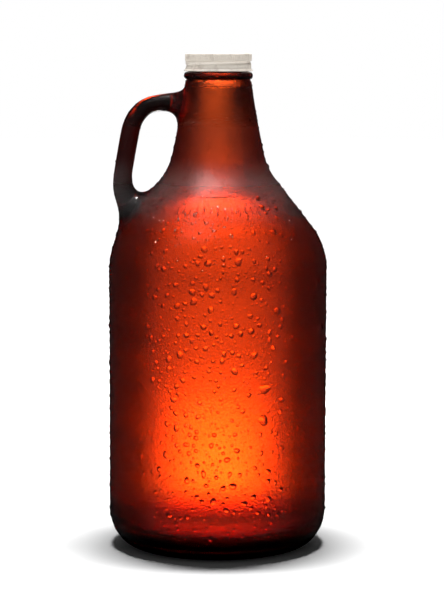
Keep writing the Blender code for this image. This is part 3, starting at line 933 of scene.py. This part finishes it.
@dataclass
class Jug:
    """The glass jug: wall, handle, finish, thread, fill line, ticks and cavity."""

    shape: JugShape
    handle: HandleShape
    finish: GlassFinish
    turn_steps: int = 192
    relief: float = 0.55
    # Height and half height in millimetres, and half length in degrees.
    fill_line: tuple[float, float, float] = (203.9, 0.55, 9.5)
    # Height, how many, and the bearing of the last one in degrees.
    ticks: tuple[float, int, float] = (196.5, 13, 30.0)
    tick_half_width: float = 0.75
    # Half heights of a long tick, each third one, and of a short one.
    tick_half_heights: tuple[float, float] = (2.7, 1.7)
    thread_pitch: float = 4.23
    thread_crest: float = 17.7
    thread_start: float = -120.0
    thread_turn: float = 400.0
    thread_lift: float = 5.0

    def wall_frames(self, bearings: np.ndarray, heights: np.ndarray) -> tuple[np.ndarray, ...]:
        """Frames on the plain outer wall.

        Args:
            bearings: Degrees from the front, toward +X.
            heights: Heights in millimetres.

        Returns:
            Places and the sideways, upward and outward directions, each (n, 3).
        """
        radius, lean = self.shape.outside_at(heights)
        around = np.radians(bearings)
        zero = np.zeros_like(around)
        out = np.stack([np.sin(around), -np.cos(around), zero], axis=1)
        upright = np.array([0.0, 0.0, 1.0])
        normal = out * np.cos(lean)[:, None] + upright * np.sin(lean)[:, None]
        side = np.stack([np.cos(around), np.sin(around), zero], axis=1)
        place = out * radius[:, None] + upright * heights[:, None]
        return place, side, np.cross(normal, side), normal

    def build_bar(
        self, bearings: tuple[float, float], heights: tuple[float, float], steps: int
    ) -> bpy.types.Object:
        """Builds a raised bar that follows the wall: a crowned sheet laid on it and thickened.

        Args:
            bearings: Its first and last bearing in degrees.
            heights: Its lower and upper edge in millimetres.
            steps: How many steps it is cut into along its length.

        Returns:
            The bar.
        """
        deselect()
        bpy.ops.mesh.primitive_grid_add(x_subdivisions=steps, y_subdivisions=4, size=1.0)
        bar = bpy.context.object
        bar.name = "relief_bar"
        flat = (vertex_array(bar) * MM).astype(np.float32)
        bearing = bearings[0] + (bearings[1] - bearings[0]) * (flat[:, 0] + 0.5)
        height = heights[0] + (heights[1] - heights[0]) * (flat[:, 1] + 0.5)
        place, _, _, normal = self.wall_frames(bearing, height)
        from_end, from_side = 0.5 - np.abs(flat[:, 0]), 0.5 - np.abs(flat[:, 1])
        crown = np.minimum(1.0, from_side * 8.0) * np.minimum(1.0, from_end * 24.0)
        set_vertices(bar, place + normal * (self.relief * (0.25 + 0.75 * crown))[:, None])
        modifier = bar.modifiers.new("depth", "SOLIDIFY")
        modifier.thickness = 1.2 * MM
        modifier.offset = -1.0
        apply_modifiers(bar)
        return bar

    def build_thread(self) -> bpy.types.Object:
        """Builds the finish's thread: a round ridge that winds round it and fades at its ends."""
        count = 120
        line = []
        for i in range(count + 1):
            share = i / count
            angle = math.radians(self.thread_start + self.thread_turn * share)
            fade = min(1.0, 6.0 * share, 6.0 * (1.0 - share))
            reach = self.thread_crest - 0.8 - 0.35 * (1.0 - fade)
            rise = self.thread_pitch * self.thread_turn / 360.0 * share
            height = self.shape.bead_height + self.thread_lift + rise
            line.append((reach * math.cos(angle), reach * math.sin(angle), height, 0.45 + 0.35 * fade))
        return sweep_round("thread", line, 3)

    def build_relief(self) -> bpy.types.Object:
        """Builds the fill line, the ticks under it and the thread, as one object."""
        line, tick = self.fill_line, self.ticks
        parts = [self.build_thread()]
        parts.append(self.build_bar((-line[2], line[2]), (line[0] - line[1], line[0] + line[1]), 24))
        for i in range(tick[1]):
            bearing = -tick[2] + 2.0 * tick[2] * i / (tick[1] - 1)
            across = (bearing - self.tick_half_width, bearing + self.tick_half_width)
            half = self.tick_half_heights[0 if i % 3 == 0 else 1]
            parts.append(self.build_bar(across, (tick[0] - half, tick[0] + half), 4))
        deselect()
        for part in parts:
            part.select_set(True)
        bpy.context.view_layer.objects.active = parts[0]
        bpy.ops.object.join()
        return parts[0]

    def build(self) -> tuple[bpy.types.Object, "Skin"]:
        """Builds the glass, in place of the CAD jug.

        Returns:
            The glass, and its outside skin for the condensation to sit on.
        """
        jug = turn_profile("jug_glass", self.shape.outer_profile(), self.turn_steps)
        merge_solids(jug, self.handle.build_rod(), Merge.JOIN)
        self.handle.blend_roots(jug)
        skin = Skin.of(jug)
        merge_solids(jug, self.build_relief(), Merge.JOIN)
        cavity = turn_profile("cavity", self.shape.inner_profile(0.0, self.shape.finish_top + 2.0), 160)
        merge_solids(jug, cavity, Merge.CUT)
        smooth_by_angle(jug, 35.0)
        LOG.info("jug: %d triangles", sum(len(p.vertices) - 2 for p in jug.data.polygons))
        dress(jug, self.finish.material(), "jug")
        return jug, skin


@dataclass
class Beer:
    """The beer, up to just under the neck bead, with its edge drawn up the glass."""

    shape: JugShape
    finish: BeerFinish
    overlap: float = 0.25
    meniscus: float = 1.2

    def build(self) -> bpy.types.Object:
        """Builds the beer, in place of the CAD solid."""
        profile = self.shape.inner_profile(-self.overlap, self.shape.beer_level)
        edge = profile[1][0]
        surface = [(0.0, self.shape.beer_level - self.meniscus)]
        for share in (0.35, 0.6, 0.78, 0.9, 0.97):
            rise = math.exp(-(1.0 - share) * edge / 1.8)
            surface.append((edge * share, self.shape.beer_level - self.meniscus * (1.0 - rise)))
        beer = turn_profile("beer_fill", surface + profile[1:], 160)
        smooth_by_angle(beer, 40.0)
        dress(beer, self.finish.material(), "beer")
        return beer


@dataclass
class Cap:
    """The screw cap: ribbed top, rolled thread, curled lower edge and hollow inside."""

    finish: TinplateFinish
    top: float = 283.4
    radius: float = 19.05
    turned: float = 18.75
    sheet: float = 0.4
    bottom: float = 273.15
    knurl: tuple[float, float] = (279.0, 282.7)
    ribs: int = 104
    rib_depth: float = 0.3
    roll_height: float = 277.3
    roll_depth: float = 0.5
    roll_half_width: float = 0.75
    thread_pitch: float = 4.23

    def profile(self) -> list[tuple[float, float]]:
        """The sheet's section from the top's centre down outside, and back up inside."""
        top, wall = self.top, self.turned
        points = [(0.0, top), (8.0, top), (14.0, top), (17.2, top), (18.0, top - 0.03), (18.5, top - 0.18)]
        points += [(18.85, top - 0.42), (self.radius, self.knurl[1])]
        points += [(self.radius, self.knurl[1] - 0.31 * i) for i in range(1, 12)]
        points += [(self.radius - 0.02, self.knurl[0]), (wall - 0.22, self.knurl[0] - 0.16)]
        points += [(wall - 0.24, self.knurl[0] - 0.3), (wall - 0.1, self.knurl[0] - 0.37)]
        low = self.bottom + 1.5
        points += [(wall, 278.6 + (low - 278.6) * i / 22) for i in range(23)]
        curl = self.bottom
        points += [(wall + 0.3, curl + 1.2), (wall + 0.55, curl + 0.95), (wall + 0.82, curl + 0.7)]
        points += [(wall + 0.9, curl + 0.45), (wall + 0.87, curl + 0.22), (wall + 0.75, curl + 0.05)]
        points += [(wall + 0.35, curl), (wall - self.sheet, curl + 0.02)]
        points += [(wall - self.sheet, low + (281.8 - low) * i / 24) for i in range(25)]
        points += [(wall - self.sheet - 0.15, 282.4), (17.7, 282.8), (0.0, 282.8)]
        return points

    def roll_at(self, bearing: np.ndarray, height: np.ndarray) -> np.ndarray:
        """How far the rolled thread draws the wall inward.

        Args:
            bearing: Degrees anticlockwise from +X, from -180 to 180.
            height: Heights in millimetres.

        Returns:
            Depths in millimetres.
        """
        depth = np.zeros_like(bearing)
        for lap in (-360.0, 0.0, 360.0):
            along = bearing + lap
            fade = np.clip(np.minimum((along + 255.0) / 40.0, (75.0 - along) / 40.0), 0.0, 1.0)
            middle = self.roll_height + self.thread_pitch * (along + 90.0) / 360.0
            away = (height - middle) / self.roll_half_width
            depth = np.maximum(depth, fade * self.roll_depth * np.exp(-away * away))
        return depth

    def build(self) -> bpy.types.Object:
        """Builds the cap, in place of the CAD cap."""
        cap = turn_profile("screw_cap", self.profile(), self.ribs * 6)
        points = vertex_array(cap)
        reach = np.maximum(np.hypot(points[:, 0], points[:, 1]), 1e-6)
        angle = np.arctan2(points[:, 1], points[:, 0])
        height = points[:, 2]
        depth = np.where(reach > 15.0, self.roll_at(np.degrees(angle), height), 0.0)
        low, high = self.knurl
        band = np.clip((height - low) / 0.4, 0.0, 1.0) * np.clip((self.top - 0.1 - height) / 0.5, 0.0, 1.0)
        groove = 0.5 + 0.5 * np.cos(angle * self.ribs)
        depth += np.where(reach > self.turned + 0.03, self.rib_depth * band * groove**1.5, 0.0)
        scale = np.where(reach > 15.0, (reach - depth) / reach, 1.0)
        points[:, :2] *= scale[:, None]
        set_vertices(cap, points)
        smooth_by_angle(cap, 50.0)
        dress(cap, self.finish.material(), "cap")
        return cap


@dataclass(frozen=True)
class DropKind:
    """One size class of condensation drops.

    Radii and the least gap are in millimetres. The skew favours the smaller radii, and
    the height is a share of the radius.
    """

    name: str
    count: int
    radii: tuple[float, float]
    skew: float
    height: float
    sides: int
    rings: int
    gap: float


@dataclass
class Condensation:
    """The drops on the glass: a few wide ones, many small ones and a fine mist."""

    jug: Jug
    skin: Skin
    finish: WaterFinish
    # Bearing from the front toward +X in degrees, height, radius, and height over width.
    front: tuple[tuple[float, float, float, float], ...] = (
        (25.0, 99.0, 3.3, 0.85),
        (24.0, 81.5, 3.1, 0.95),
        (8.0, 45.0, 2.1, 1.05),
        (-2.0, 36.5, 1.8, 1.35),
        (5.0, 60.0, 2.0, 0.75),
        (19.0, 118.0, 1.9, 1.0),
        (-5.0, 169.0, 1.9, 1.1),
        (-13.0, 153.0, 1.9, 1.05),
        (-23.0, 93.0, 1.8, 1.05),
        (35.0, 92.0, 1.9, 0.9),
        (10.0, 65.0, 1.9, 0.8),
        (14.0, 35.0, 1.8, 0.95),
        (27.0, 52.0, 1.7, 1.2),
        (-16.0, 68.0, 1.8, 0.8),
        (-21.0, 145.0, 1.7, 1.0),
        (-34.0, 149.0, 1.6, 1.0),
        (-11.0, 72.0, 1.5, 0.9),
        (13.0, 87.0, 1.5, 1.0),
        (-6.0, 122.0, 1.5, 1.0),
        (-18.0, 104.0, 1.5, 1.1),
        (9.0, 74.0, 1.3, 1.0),
        (-3.0, 68.0, 1.5, 1.0),
        (23.0, 63.0, 1.6, 1.0),
        (35.0, 41.0, 1.6, 1.0),
        (3.0, 44.0, 1.5, 1.1),
        (16.0, 96.0, 1.5, 1.0),
        (34.0, 85.0, 1.7, 1.1),
        (-16.0, 129.0, 1.5, 1.0),
        (-7.0, 52.0, 1.4, 1.7),
        (0.0, 154.0, 1.3, 1.0),
        (-21.0, 138.0, 1.3, 1.0),
        (-29.0, 175.0, 1.5, 1.0),
        (27.0, 171.0, 1.3, 1.0),
        (34.0, 133.0, 1.5, 1.0),
    )
    kinds: tuple[DropKind, ...] = (
        DropKind("condensation_large", 240, (1.25, 2.1), 2.0, 0.4, 24, 6, 1.0),
        DropKind("condensation_medium", 1150, (0.85, 1.4), 1.5, 0.44, 14, 4, 0.5),
        DropKind("condensation_small", 3100, (0.45, 0.85), 1.4, 0.46, 8, 3, 0.2),
        DropKind("condensation_mist", 5600, (0.22, 0.45), 1.2, 0.48, 6, 2, 0.05),
    )
    sunk: float = 0.2
    hang: float = 0.2
    # The share of a drop's radius that is outside the glass; its edge runs on below.
    rim: float = 0.88
    # The drops thin out upward between these heights, by these shares for the wider kinds
    # and for the finer ones. The wider kinds keep off the handle and the heel.
    thinning: tuple[float, float] = (185.0, 245.0)
    wide_thinned: float = 0.8
    fine_thinned: float = 0.35
    fine_off_wall: float = 0.6
    wide_lowest: float = 14.0
    fine_lowest: float = 7.0
    seed: int = 11

    @staticmethod
    def template(sides: int, rings: int) -> tuple[np.ndarray, np.ndarray]:
        """Models one unit drop: half a sphere with a closed foot under it.

        Args:
            sides: How many sides it has.
            rings: How many rings the half sphere has.

        Returns:
            Vertices (radius, angle, kind), where kind is 1 on the dome and 0 on the
            foot, and triangles.
        """
        deselect()
        bpy.ops.mesh.primitive_uv_sphere_add(segments=sides, ring_count=rings * 2, radius=1.0)
        drop = bpy.context.object
        bpy.ops.object.mode_set(mode="EDIT")
        bpy.ops.mesh.select_all(action="SELECT")
        bpy.ops.mesh.bisect(
            plane_co=(0.0, 0.0, -0.02), plane_no=(0.0, 0.0, 1.0), clear_inner=True, use_fill=True
        )
        bpy.ops.mesh.select_all(action="SELECT")
        bpy.ops.mesh.quads_convert_to_tris()
        bpy.ops.mesh.normals_make_consistent(inside=False)
        bpy.ops.object.mode_set(mode="OBJECT")
        points = vertex_array(drop) * MM
        faces = np.array([list(p.vertices) for p in drop.data.polygons], np.int32)
        bpy.data.objects.remove(drop, do_unlink=True)
        radius = np.minimum(np.hypot(points[:, 0], points[:, 1]), 1.0)
        dome = (points[:, 2] > -0.01).astype(float)
        return np.stack([radius, np.arctan2(points[:, 1], points[:, 0]), dome], axis=1), faces

    def lay(
        self,
        kind: DropKind,
        random: np.random.Generator,
        places: np.ndarray,
        normals: np.ndarray,
        radii: np.ndarray,
        talls: np.ndarray,
    ) -> bpy.types.Object:
        """Joins drops of one kind into a piece.

        Args:
            kind: The size class.
            random: The seeded generator.
            places: Where each drop sits, (n, 3).
            normals: Outward directions, (n, 3).
            radii: Radii in millimetres, (n,).
            talls: How much taller than wide each is, (n,).

        Returns:
            The piece.
        """
        unit, faces = self.template(kind.sides, kind.rings)
        count = len(places)
        rho, angle, dome = unit.T
        turn = random.uniform(0.0, math.tau, (count, 2))
        wobble = 1.0 + 0.09 * np.cos(2.0 * angle + turn[:, :1]) + 0.05 * np.cos(3.0 * angle + turn[:, 1:])
        sag = np.where(np.sin(angle) > 0.0, 0.9, 1.1)
        reach = radii[:, None] * rho * wobble
        across = reach * np.cos(angle)
        along = reach * np.sin(angle) * talls[:, None] * sag
        flatter = np.minimum(1.0, (1.5 / radii) ** 0.6)
        high = radii * kind.height * random.uniform(0.8, 1.15, count) * flatter
        hang = 1.0 - self.hang * rho * np.sin(angle)
        rise = high[:, None] * (1.0 - (rho / self.rim) ** 2) * hang
        curve = reach**2 / 90.0
        rise = np.where(dome > 0.5, rise - curve, -self.sunk - curve)
        upright = np.array([0.0, 0.0, 1.0])
        side = np.cross(upright, normals)
        side /= np.maximum(np.linalg.norm(side, axis=1), 1e-6)[:, None]
        up = np.cross(normals, side)
        points = (
            places[:, None, :]
            + across[..., None] * side[:, None, :]
            + along[..., None] * up[:, None, :]
            + rise[..., None] * normals[:, None, :]
        )
        offsets = (np.arange(count) * len(unit))[:, None, None]
        obj = mesh_from_arrays(kind.name, points.reshape(-1, 3), (faces[None] + offsets).reshape(-1, 3))
        smooth_by_angle(obj, 40.0)
        LOG.info("%s: %d drops, %d triangles", kind.name, count, len(obj.data.polygons))
        return obj

    def named_places(self) -> tuple[np.ndarray, ...]:
        """The wide drops at known places: places, normals, radii and talls."""
        rows = np.array(self.front)
        place, _, _, normal = self.jug.wall_frames(rows[:, 0], rows[:, 1])
        return place, normal, rows[:, 2], rows[:, 3]

    def thickness(self, kind: DropKind) -> np.ndarray:
        """How thickly a size class covers each triangle of the skin."""
        middle = self.skin.corners.mean(axis=1)
        height = middle[:, 2]
        start, end = self.thinning
        upper = np.clip((height - start) / (end - start), 0.0, 1.0)
        off_wall = np.clip(self.jug.handle.wall_distance(middle) / 3.0, 0.0, 1.0)
        if kind.radii[1] > 1.0:
            return (1.0 - self.wide_thinned * upper) * (1.0 - off_wall) * (height > self.wide_lowest)
        thin = (1.0 - self.fine_thinned * upper) * (1.0 - self.fine_off_wall * off_wall)
        return thin * (height > self.fine_lowest)

    def build(self) -> list[bpy.types.Object]:
        """Builds every size class, the widest first, no two drops touching."""
        random = np.random.default_rng(self.seed)
        water = self.finish.material()
        places, normals, radii, talls = self.named_places()
        pieces = []
        for kind in self.kinds:
            draw = random.random(kind.count * 2) ** kind.skew
            wanted = np.sort(kind.radii[0] + (kind.radii[1] - kind.radii[0]) * draw)[::-1]
            spots, outward = self.skin.draw(random, len(wanted), self.thickness(kind))
            tall = random.uniform(0.9, 1.25, len(wanted))
            kept = self.spaced(places, radii, spots, wanted, kind)
            first = len(places) if pieces else 0
            places = np.vstack([places, spots[kept]])
            normals = np.vstack([normals, outward[kept]])
            radii = np.concatenate([radii, wanted[kept]])
            talls = np.concatenate([talls, tall[kept]])
            part = slice(first, len(places))
            obj = self.lay(kind, random, places[part], normals[part], radii[part], talls[part])
            dress(obj, water)
            pieces.append(obj)
        return pieces

    @staticmethod
    def spaced(
        places: np.ndarray, radii: np.ndarray, spots: np.ndarray, wanted: np.ndarray, kind: DropKind
    ) -> np.ndarray:
        """Picks the new drops that touch none before them.

        Args:
            places: Where the drops already laid are.
            radii: Their radii.
            spots: Where the new drops would go, in order.
            wanted: Their radii.
            kind: Their size class, with its count and its least gap.

        Returns:
            Indices of the kept drops.
        """
        cell = 2.0
        grid: dict[tuple[int, int, int], list[tuple[np.ndarray, float]]] = {}

        def note(spot: np.ndarray, radius: float) -> None:
            """Notes a laid drop in its cell of the grid."""
            grid.setdefault(tuple(int(v) for v in spot // cell), []).append((spot, radius))

        for spot, radius in zip(places, radii):
            note(spot, radius)
        kept = []
        for i, (spot, radius) in enumerate(zip(spots, wanted)):
            if len(kept) == kind.count:
                break
            x, y, z = (int(v) for v in spot // cell)
            span = range(-3, 4) if radius > 0.7 else range(-2, 3)
            clear = True
            for dx in span:
                for dy in span:
                    for dz in span:
                        for other, size in grid.get((x + dx, y + dy, z + dz), ()):
                            gap = spot - other
                            if gap @ gap < (radius + size * 1.15 + kind.gap) ** 2:
                                clear = False
            if clear:
                kept.append(i)
                note(spot, radius)
        return np.array(kept, int)


# The studio


@dataclass(frozen=True)
class Backlight:
    """The bright card behind the jug: where it is and how its light falls off.

    Sizes are in metres, heights from the floor. A band is its start and end and the level
    after it. The card also reaches down below the floor, which the glass doesn't see, in
    place of the lit table that a real jug would stand on.
    """

    distance: float = 0.35
    half_width: float = 0.2
    reach: tuple[float, float] = (-1.2, 0.34)
    # The field's level by height, from behind the base up to behind the cap.
    foot_level: float = 1.12
    levels: Bands = ((0.05, 0.1, 1.6), (0.112, 0.142, 0.272), (0.15, 0.215, 0.672))
    # Upward the field moves toward +X and narrows, and its edges are soft from the middle out.
    slant: Bands = ((0.11, 0.16, 0.015),)
    edge: float = 0.106
    narrowing: Bands = ((0.11, 0.16, 0.1),)
    full_to: float = 0.005
    # The hot spot is low behind the body, and the neck's is small and weak.
    hot_spot: tuple[float, float] = (0.0, -0.0135)
    hot_size: tuple[float, float] = (0.044, 0.038)
    hot_level: float = 12.5
    neck_spot: tuple[float, float] = (0.0, 0.268)
    neck_size: tuple[float, float] = (0.03, 0.03)
    neck_level: float = 0.5
    # Between these heights the card is dark, down to the strip that lights the base.
    dark_below: tuple[float, float] = (-0.095, -0.07)
    low_level: float = 28.0
    low_end: Bands = ((-0.4, -0.28, 0.0),)
    low_half_width: tuple[float, float] = (0.01, 0.1)

    @staticmethod
    def spot(
        tree: bpy.types.NodeTree,
        place: bpy.types.NodeSocket,
        centre: tuple[float, float],
        size: tuple[float, float],
    ) -> bpy.types.NodeSocket:
        """Adds a round spot that fades off like a bell.

        Args:
            tree: The node tree to add to.
            place: The place on the card.
            centre: The spot's centre across and up.
            size: How wide and how high it is.

        Returns:
            The socket that gives its level, 1 in the centre.
        """
        spread = (1.0 / size[0], 0.0, 1.0 / size[1])
        shift = (-centre[0] / size[0], 0.0, -centre[1] / size[1])
        away = add_node(
            tree, "ShaderNodeVectorMath", {0: place, 1: spread, 2: shift}, operation="MULTIPLY_ADD"
        ).outputs["Vector"]
        square = add_node(tree, "ShaderNodeVectorMath", {0: away, 1: away}, operation="DOT_PRODUCT")
        fade = {0: 1.0 / math.e, 1: square.outputs["Value"]}
        return add_node(tree, "ShaderNodeMath", fade, operation="POWER").outputs[0]

    def field(
        self, tree: bpy.types.NodeTree, across: bpy.types.NodeSocket, height: bpy.types.NodeSocket
    ) -> bpy.types.NodeSocket:
        """Adds the broad field of light.

        Args:
            tree: The node tree to add to.
            across: The place across the card.
            height: The height on the card.

        Returns:
            The socket that gives its level.
        """
        middle = grade(tree, height, 0.0, self.slant)
        off = add_node(tree, "ShaderNodeMath", {0: across, 1: middle}, operation="SUBTRACT")
        off = add_node(tree, "ShaderNodeMath", {0: off.outputs[0]}, operation="ABSOLUTE")
        edge = grade(tree, height, self.edge, self.narrowing)
        level = grade(tree, height, self.foot_level, self.levels)
        return grade(tree, off.outputs[0], level, ((self.full_to, edge, 0.0),))

    def material(self) -> bpy.types.Material:
        """Builds the card's glow, from its place in metres."""
        # Backlight: a soft white field with a low hot spot, dimmer and narrower upward.
        mat = bpy.data.materials.new("backlight_card")
        mat.use_nodes = True
        tree = mat.node_tree
        tree.nodes.clear()
        place = add_node(tree, "ShaderNodeTexCoord").outputs["Object"]
        split = add_node(tree, "ShaderNodeSeparateXYZ", {0: place})
        across, height = split.outputs["X"], split.outputs["Z"]
        hot = self.spot(tree, place, self.hot_spot, self.hot_size)
        glow = {0: hot, 1: self.hot_level, 2: self.field(tree, across, height)}
        glow = add_node(tree, "ShaderNodeMath", glow, operation="MULTIPLY_ADD").outputs[0]
        body = grade(tree, height, 0.0, ((*self.dark_below, glow),))
        neck = {0: self.spot(tree, place, self.neck_spot, self.neck_size), 1: self.neck_level, 2: body}
        upper = add_node(tree, "ShaderNodeMath", neck, operation="MULTIPLY_ADD").outputs[0]
        off = add_node(tree, "ShaderNodeMath", {0: across}, operation="ABSOLUTE").outputs[0]
        strip = grade(tree, height, self.low_level, self.low_end)
        strip = grade(tree, off, strip, ((*self.low_half_width, 0.0),))
        level = add_node(tree, "ShaderNodeMath", {0: upper, 1: strip}, operation="ADD").outputs[0]
        shine = add_node(tree, "ShaderNodeEmission", {"Color": WHITE, "Strength": level})
        output = add_node(tree, "ShaderNodeOutputMaterial")
        tree.links.new(shine.outputs["Emission"], output.inputs["Surface"])
        return mat

    def build(self) -> None:
        """Adds the card, hidden from the camera."""
        deselect()
        bpy.ops.mesh.primitive_plane_add(size=2.0)
        card = bpy.context.object
        card.name = "backlight_card"
        middle, half = sum(self.reach) / 2.0, (self.reach[1] - self.reach[0]) / 2.0
        bpy.ops.object.mode_set(mode="EDIT")
        bpy.ops.mesh.select_all(action="SELECT")
        bpy.ops.transform.resize(value=(self.half_width, half, 1.0), center_override=(0.0, 0.0, 0.0))
        bpy.ops.transform.rotate(
            value=math.radians(90.0), orient_axis="X", center_override=(0.0, 0.0, 0.0)
        )
        bpy.ops.transform.translate(value=(0.0, self.distance, middle))
        bpy.ops.object.mode_set(mode="OBJECT")
        card.data.materials.append(self.material())
        card.visible_camera = False
        card.visible_shadow = False


@dataclass(frozen=True)
class Softbox:
    """A soft rectangular light: places and size in metres, power in watts."""

    name: str
    place: tuple[float, float, float]
    target: tuple[float, float, float]
    size: tuple[float, float]
    power: float

    def build(self) -> bpy.types.Object:
        """Adds the light, aimed at its target."""
        heading = Vector(self.target) - Vector(self.place)
        turn = heading.to_track_quat("-Z", "Y").to_euler()
        bpy.ops.object.light_add(type="AREA", location=self.place, rotation=turn)
        light = bpy.context.object
        light.name = self.name
        light.data.shape = "RECTANGLE"
        light.data.size, light.data.size_y = self.size
        light.data.energy = self.power
        return light


@dataclass
class Studio:
    """Camera, pale floor, white surround and the lights, in metres and degrees."""

    backlight: Backlight
    overhead: Softbox = Softbox("overhead_softbox", (0.0, 0.06, 1.4), (0.0, 0.0, 0.1), (0.42, 0.14), 27.0)
    front: Softbox = Softbox("front_softbox", (-0.35, -0.4, 1.2), (0.0, 0.0, 0.2), (0.5, 0.4), 3.2)
    camera_place: tuple[float, float, float] = (0.0024, -1.2497, 0.2834)
    pitch: float = 6.62
    roll: float = 0.15
    lens: float = 128.2
    # The room's level in front of the jug, and behind it, along the direction's Y.
    room_level: float = 0.08
    room_bands: Bands = ((-0.35, 0.02, 0.02),)
    # Its lower part is dark, by the direction's Z.
    room_floor: tuple[float, float] = (-0.75, -0.35)
    floor_radius: float = 6.0
    floor_glow: Bands = ((0.07, 0.5, 1.0),)
    patch_radius: float = 0.062
    bounces: int = 16
    # The flag's outline: X and height in millimetres, at flag_depth behind the axis.
    flag_outline: tuple[tuple[float, float], ...] = (
        (-85.0, 188.0),
        (-45.0, 188.0),
        (-45.0, 246.0),
        (-24.0, 246.0),
        (-24.0, 268.0),
        (-85.0, 268.0),
    )
    flag_depth: float = 15.0

    def add_camera(self) -> None:
        """Adds the camera at the photograph's viewing angle."""
        turn = Euler((math.radians(90.0 - self.pitch), 0.0, 0.0)).to_matrix()
        turn = turn @ Euler((0.0, 0.0, math.radians(self.roll))).to_matrix()
        bpy.ops.object.camera_add(location=self.camera_place, rotation=turn.to_euler())
        camera = bpy.context.object
        camera.data.sensor_width = 36.0
        camera.data.sensor_fit = "AUTO"
        camera.data.lens = self.lens
        bpy.context.scene.camera = camera

    def add_world(self) -> None:
        """Shows white to the camera, and to the rest a dim room that is darker behind the jug."""
        world = bpy.data.worlds.new("surround")
        bpy.context.scene.world = world
        world.use_nodes = True
        tree = world.node_tree
        tree.nodes.clear()
        path = add_node(tree, "ShaderNodeLightPath")
        place = add_node(tree, "ShaderNodeTexCoord")
        split = add_node(tree, "ShaderNodeSeparateXYZ", {0: place.outputs["Generated"]})
        room = grade(tree, split.outputs["Y"], self.room_level, self.room_bands)
        lit = grade(tree, split.outputs["Z"], 0.0, ((*self.room_floor, room),))
        level = add_node(
            tree,
            "ShaderNodeMix",
            {"Factor": path.outputs["Is Camera Ray"], 2: lit, 3: 1.0},
            data_type="FLOAT",
        )
        back = add_node(tree, "ShaderNodeBackground", {"Color": WHITE, "Strength": level.outputs[0]})
        output = add_node(tree, "ShaderNodeOutputWorld")
        tree.links.new(back.outputs["Background"], output.inputs["Surface"])

    def add_floor(self) -> None:
        """Adds the pale floor: a wide disc that stays white out to its edge."""
        floor = add_disc("floor", self.floor_radius, 96, -0.0002)
        values = {"Base Color": linear("#f4f4f4"), "Roughness": 0.9, "Specular IOR Level": 0.1}
        mat, shader, _ = new_material("pale_floor", {**values, "Emission Color": WHITE})
        tree = mat.node_tree
        place = add_node(tree, "ShaderNodeTexCoord").outputs["Object"]
        away = add_node(tree, "ShaderNodeVectorMath", {0: place}, operation="LENGTH").outputs["Value"]
        tree.links.new(grade(tree, away, 0.0, self.floor_glow), shader.inputs["Emission Strength"])
        floor.data.materials.append(mat)
        floor.visible_transmission = False
        floor.visible_glossy = False

    @staticmethod
    def stage_black(card: bpy.types.Object, material: str) -> None:
        """Blackens a card, so that only the glass sees it.

        Args:
            card: The card, already in place.
            material: The name of its material.
        """
        mat, _, _ = new_material(material, {"Base Color": BLACK, "Specular IOR Level": 0.0})
        card.data.materials.append(mat)
        card.visible_camera = False
        card.visible_diffuse = False
        card.visible_shadow = False

    def add_contact_patch(self) -> None:
        """Adds a black disc under the base that only the glass sees: painted shade, in place of the shaded
        floor there.
        """
        self.stage_black(add_disc("contact_patch", self.patch_radius, 64, -0.0001), "painted_floor_shade")

    def add_flag(self) -> None:
        """Adds the flag, a black card that keeps the backlight off the handle."""
        corners = np.array([(x, self.flag_depth, z) for x, z in self.flag_outline])
        faces = np.array([(0, 1, 2), (0, 2, 5), (2, 3, 4), (2, 4, 5)])
        self.stage_black(mesh_from_arrays("handle_flag", corners, faces), "black_flag")

    def build(self, pieces: Sequence[bpy.types.Object]) -> None:
        """Sets up the whole studio.

        Args:
            pieces: The jug's pieces, which are all that the front softbox lights.
        """
        scene = bpy.context.scene
        scene.view_settings.view_transform = "Standard"
        scene.cycles.max_bounces = self.bounces
        scene.cycles.transmission_bounces = self.bounces
        scene.cycles.caustics_reflective = False
        scene.cycles.caustics_refractive = False
        self.add_camera()
        self.add_world()
        self.add_floor()
        self.add_contact_patch()
        self.add_flag()
        self.backlight.build()
        self.overhead.build()
        front = self.front.build()
        front.visible_glossy = False
        lit = bpy.data.collections.new("front_softbox_lights")
        for piece in pieces:
            lit.objects.link(piece)
        front.light_linking.receiver_collection = lit


def main() -> None:
    """Loads the frame, builds the pieces and the studio and reports each piece."""
    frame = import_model()
    LOG.info("frame loaded: %s", frame is not None)
    shape = JugShape()
    jug = Jug(shape, HandleShape(shape), GlassFinish())
    glass, skin = jug.build()
    pieces = [glass, Beer(shape, BeerFinish()).build(), Cap(TinplateFinish()).build()]
    pieces += Condensation(jug, skin, WaterFinish()).build()
    Studio(Backlight()).build(pieces)
    for piece in pieces:
        LOG.info("%s: %d faces", piece.name, len(piece.data.polygons))


if __name__ == "__main__":
    logging.basicConfig(level=logging.INFO)
    main()
